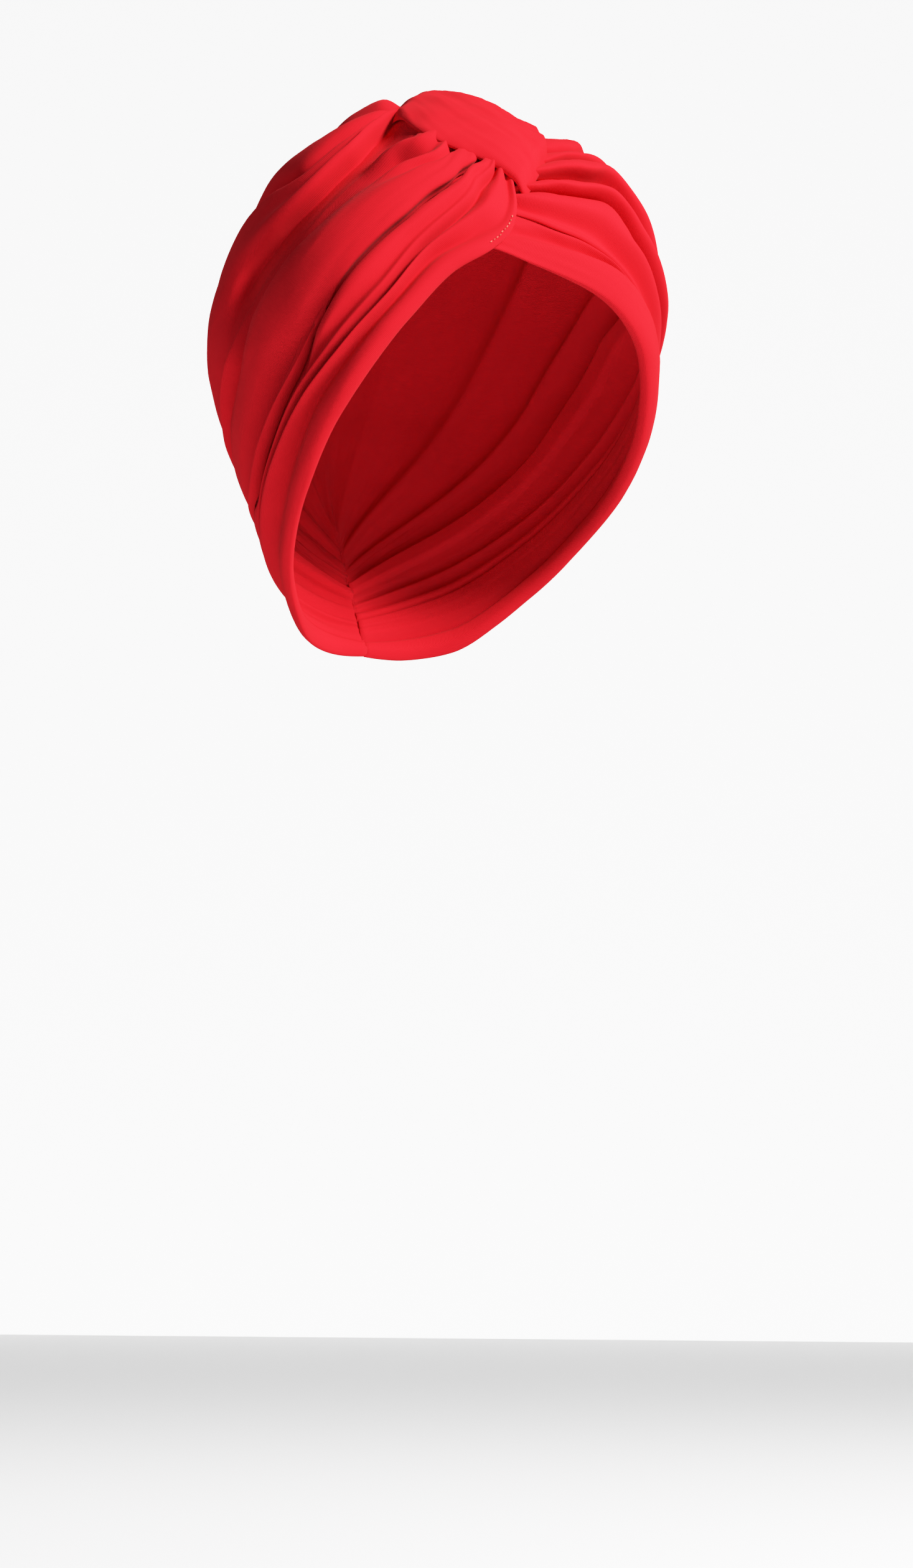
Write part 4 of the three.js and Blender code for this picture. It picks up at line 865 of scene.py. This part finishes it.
def plain(name, colour, roughness, glow=0.0):
    """A matt surface of one colour, which may glow white."""
    material = bpy.data.materials.new(name)
    material.use_nodes = True
    shader = material.node_tree.nodes["Principled BSDF"]
    shader.inputs["Base Color"].default_value = tuple(colour) + (1,)
    shader.inputs["Roughness"].default_value = roughness
    shader.inputs["Emission Color"].default_value = (1, 1, 1, 1)
    shader.inputs["Emission Strength"].default_value = glow
    return material


def add_cloth(name, cad_node, slot, points, settings, depth=KNIT_DEPTH):
    """Builds one piece of cloth, hangs it on the body and hides the frame's part that it takes the place
    of.
    """
    obj = cloth_object(name, points, settings.thickness, jersey(slot, settings.colour, depth))
    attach(obj, BODY)
    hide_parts(cad_node)


def studio_square(name, half, place, finish):
    """A flat square of the studio, with its place in its mesh."""
    bm = bmesh.new()
    bmesh.ops.create_grid(bm, x_segments=1, y_segments=1, size=half)
    mesh = new_mesh(name, bm, finish)
    mesh.transform(place)
    return link(name, mesh)


def camera_axes():
    """Directions back to the camera, to the right and up in its picture."""
    turn, rise, roll = (math.radians(v) for v in (CAMERA_TURN, CAMERA_RISE, CAMERA_ROLL))
    back = Vector((math.sin(turn) * math.cos(rise), -math.cos(turn) * math.cos(rise), math.sin(rise)))
    sideways = Vector((math.cos(turn), math.sin(turn), 0))
    upright = back.cross(sideways)
    right = sideways * math.cos(roll) + upright * math.sin(roll)
    up = upright * math.cos(roll) - sideways * math.sin(roll)
    return back, right, up


def add_paper():
    """The pale floor, and the glowing paper that stands behind the wrap and faces the camera."""
    ground = Matrix.Translation((0, 0, FLOOR_LEVEL * MM))
    pale = plain("pale_floor", STUDIO_COLOUR, STUDIO_ROUGHNESS)
    floor = studio_square("floor", FLOOR_HALF, ground, pale)
    turn = math.radians(CAMERA_TURN)
    upright = Matrix.Rotation(turn, 4, "Z") @ Matrix.Rotation(math.radians(90), 4, "X")
    behind = Vector((-math.sin(turn), math.cos(turn), 0)) * PAPER_DISTANCE
    stand = Matrix.Translation(behind + Vector((0, 0, PAPER_HALF + FLOOR_LEVEL * MM)))
    white = plain("white_paper", STUDIO_COLOUR, STUDIO_ROUGHNESS, PAPER_GLOW)
    backdrop = studio_square("backdrop", PAPER_HALF, stand @ upright, white)


def add_lamps(key_power):
    """The faint light of the room, and the soft lamps that face the middle of the wrap."""
    world = bpy.data.worlds.new("studio")
    world.use_nodes = True
    world.node_tree.nodes["Background"].inputs["Color"].default_value = (1, 1, 1, 1)
    world.node_tree.nodes["Background"].inputs["Strength"].default_value = ROOM_GLOW
    bpy.context.scene.world = world
    back, right, up = camera_axes()
    for name, way, reach, size, share in LAMPS:
        light = bpy.data.lights.new(name, "AREA")
        light.energy = key_power * share
        light.size = size
        lamp = link(name, light)
        aim = (right * way[0] + up * way[1] + back * way[2]).normalized()
        lamp.location = CENTRE + aim * reach
        lamp.rotation_euler = aim.to_track_quat("Z", "Y").to_euler()


def set_tones(view):
    """Puts the picture's curve from light to tone on the scene's view."""
    view.view_transform = "Standard"
    view.use_curve_mapping = True
    view.curve_mapping.white_level = (WHITE_LEVEL,) * 3
    curve = view.curve_mapping.curves[3]
    if len(curve.points) == 2:
        for light, tone in TONES:
            curve.points.new(light, tone)
    view.curve_mapping.update()


def add_camera():
    """The camera as the photograph was taken, with the picture's place of the wrap's middle."""
    back, right, up = camera_axes()
    lens = bpy.data.cameras.new("camera")
    lens.sensor_fit = "VERTICAL"
    lens.sensor_height = SENSOR_HEIGHT
    lens.lens = SENSOR_HEIGHT * CAMERA_DISTANCE * SCALE_AT_CENTRE / PHOTO_SIZE[1]
    camera = link("camera", lens)
    shift_right = (CENTRE_IN_PHOTO[0] - PHOTO_SIZE[0] / 2) / SCALE_AT_CENTRE
    shift_up = (PHOTO_SIZE[1] / 2 - CENTRE_IN_PHOTO[1]) / SCALE_AT_CENTRE
    camera.matrix_world = Matrix((right, up, back)).transposed().to_4x4()
    camera.location = CENTRE + (back * CAMERA_DISTANCE - right * shift_right - up * shift_up) * MM
    bpy.context.scene.camera = camera


class HeadwrapSettings(bpy.types.PropertyGroup):
    """Sizes and finish of the wrap."""

    fold_relief: FloatProperty(
        name="Fold relief", description="Height of the tallest folds over the cloth that lies flat",
        default=FOLD_RELIEF * MM, min=0.001, max=0.02, unit="LENGTH", precision=4)
    thickness: FloatProperty(
        name="Cloth thickness", description="Thickness of one layer of jersey",
        default=0.0008, min=0.0003, max=0.0016, unit="LENGTH", precision=4)
    facet: FloatProperty(
        name="Facet", description="Distance between the cut lines across a fold",
        default=0.0014, min=0.0008, max=0.006, unit="LENGTH", precision=4)
    wrinkles: FloatProperty(
        name="Wrinkles", description="Depth of the small wrinkles between the folds, as a share",
        default=1.0, min=0.0, max=3.0, subtype="FACTOR")
    colour: FloatVectorProperty(
        name="Jersey", description="Colour of the jersey",
        default=(0.6, 0.011, 0.018), min=0.0, max=1.0, size=3, subtype="COLOR")
    key_power: FloatProperty(
        name="Key light", description="Power of the soft light beside the camera",
        default=58.0, min=0.0, max=500.0, unit="POWER")


class HEADWRAP_OT_drapes(bpy.types.Operator):
    """Model the right and the left drape, from the knot to the centre back, and the corner's stitches"""

    bl_idname = "headwrap.drapes"
    bl_label = "Drapes"

    def execute(self, context):
        settings = context.scene.headwrap
        paths, curve, points = drape(RIGHT_DRAPE, RIGHT, settings, seed=11)
        add_cloth("right_drape_cloth", "right_drape", "jersey_drapes", points, settings)
        thread = plain("pale_thread", THREAD_COLOUR, THREAD_ROUGHNESS)
        stitches = stitches_object("corner_stitches", paths, curve, points, thread)
        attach(stitches, BODY)
        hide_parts("right_drape")
        points = drape(LEFT_DRAPE, LEFT, settings, seed=23)[2]
        add_cloth("left_drape_cloth", "left_drape", "jersey_drapes", points, settings)
        return {"FINISHED"}


class HEADWRAP_OT_front_band(bpy.types.Operator):
    """Model the band of cloth with the ribbed hem on the wearer's left"""

    bl_idname = "headwrap.front_band"
    bl_label = "Left front band"

    def execute(self, context):
        settings = context.scene.headwrap
        points = drape(LEFT_FRONT_BAND, LEFT, settings, seed=31)[2]
        add_cloth("left_front_band_cloth", "left_front_band", "jersey_hem_band", points, settings,
                  depth=RIB_DEPTH)
        return {"FINISHED"}


class HEADWRAP_OT_crown(bpy.types.Operator):
    """Model the pleated crown from one lower edge over the top to the other"""

    bl_idname = "headwrap.crown"
    bl_label = "Crown"

    def execute(self, context):
        settings = context.scene.headwrap
        points = crown_cloth(settings, seed=47)
        add_cloth("crown_cloth", "crown", "jersey_crown", points, settings)
        return {"FINISHED"}


class HEADWRAP_OT_knot_band(bpy.types.Operator):
    """Model the band that rolls over the knot and widens over the crown"""

    bl_idname = "headwrap.knot_band"
    bl_label = "Knot band"

    def execute(self, context):
        settings = context.scene.headwrap
        points = band_cloth(settings, seed=59)
        add_cloth("knot_band_cloth", "knot_band", "jersey_knot_band", points, settings)
        return {"FINISHED"}


class HEADWRAP_OT_stage(bpy.types.Operator):
    """Set up the pale floor, the soft studio lights and the camera"""

    bl_idname = "headwrap.stage"
    bl_label = "Studio and camera"

    def execute(self, context):
        add_paper()
        set_tones(context.scene.view_settings)
        add_lamps(context.scene.headwrap.key_power)
        add_camera()
        return {"FINISHED"}


class HEADWRAP_PT_panel(bpy.types.Panel):
    """Buttons and sizes of the wrap"""

    bl_idname = "HEADWRAP_PT_panel"
    bl_label = "Headwrap"
    bl_space_type = "VIEW_3D"
    bl_region_type = "UI"
    bl_category = "Headwrap"

    def draw(self, context):
        settings = context.scene.headwrap
        for name in ("fold_relief", "thickness", "facet", "wrinkles", "colour", "key_power"):
            self.layout.prop(settings, name)
        for step in ("drapes", "front_band", "crown", "knot_band", "stage"):
            self.layout.operator("headwrap." + step)


CLASSES = (HeadwrapSettings, HEADWRAP_OT_drapes, HEADWRAP_OT_front_band, HEADWRAP_OT_crown,
           HEADWRAP_OT_knot_band, HEADWRAP_OT_stage, HEADWRAP_PT_panel)


def register():
    for cls in CLASSES:
        bpy.utils.register_class(cls)
    bpy.types.Scene.headwrap = PointerProperty(type=HeadwrapSettings)


def unregister():
    del bpy.types.Scene.headwrap
    for cls in reversed(CLASSES):
        bpy.utils.unregister_class(cls)


def main():
    register()
    bpy.ops.headwrap.drapes()
    bpy.ops.headwrap.front_band()
    bpy.ops.headwrap.crown()
    bpy.ops.headwrap.knot_band()
    bpy.ops.headwrap.stage()


if __name__ == "__main__":
    main()
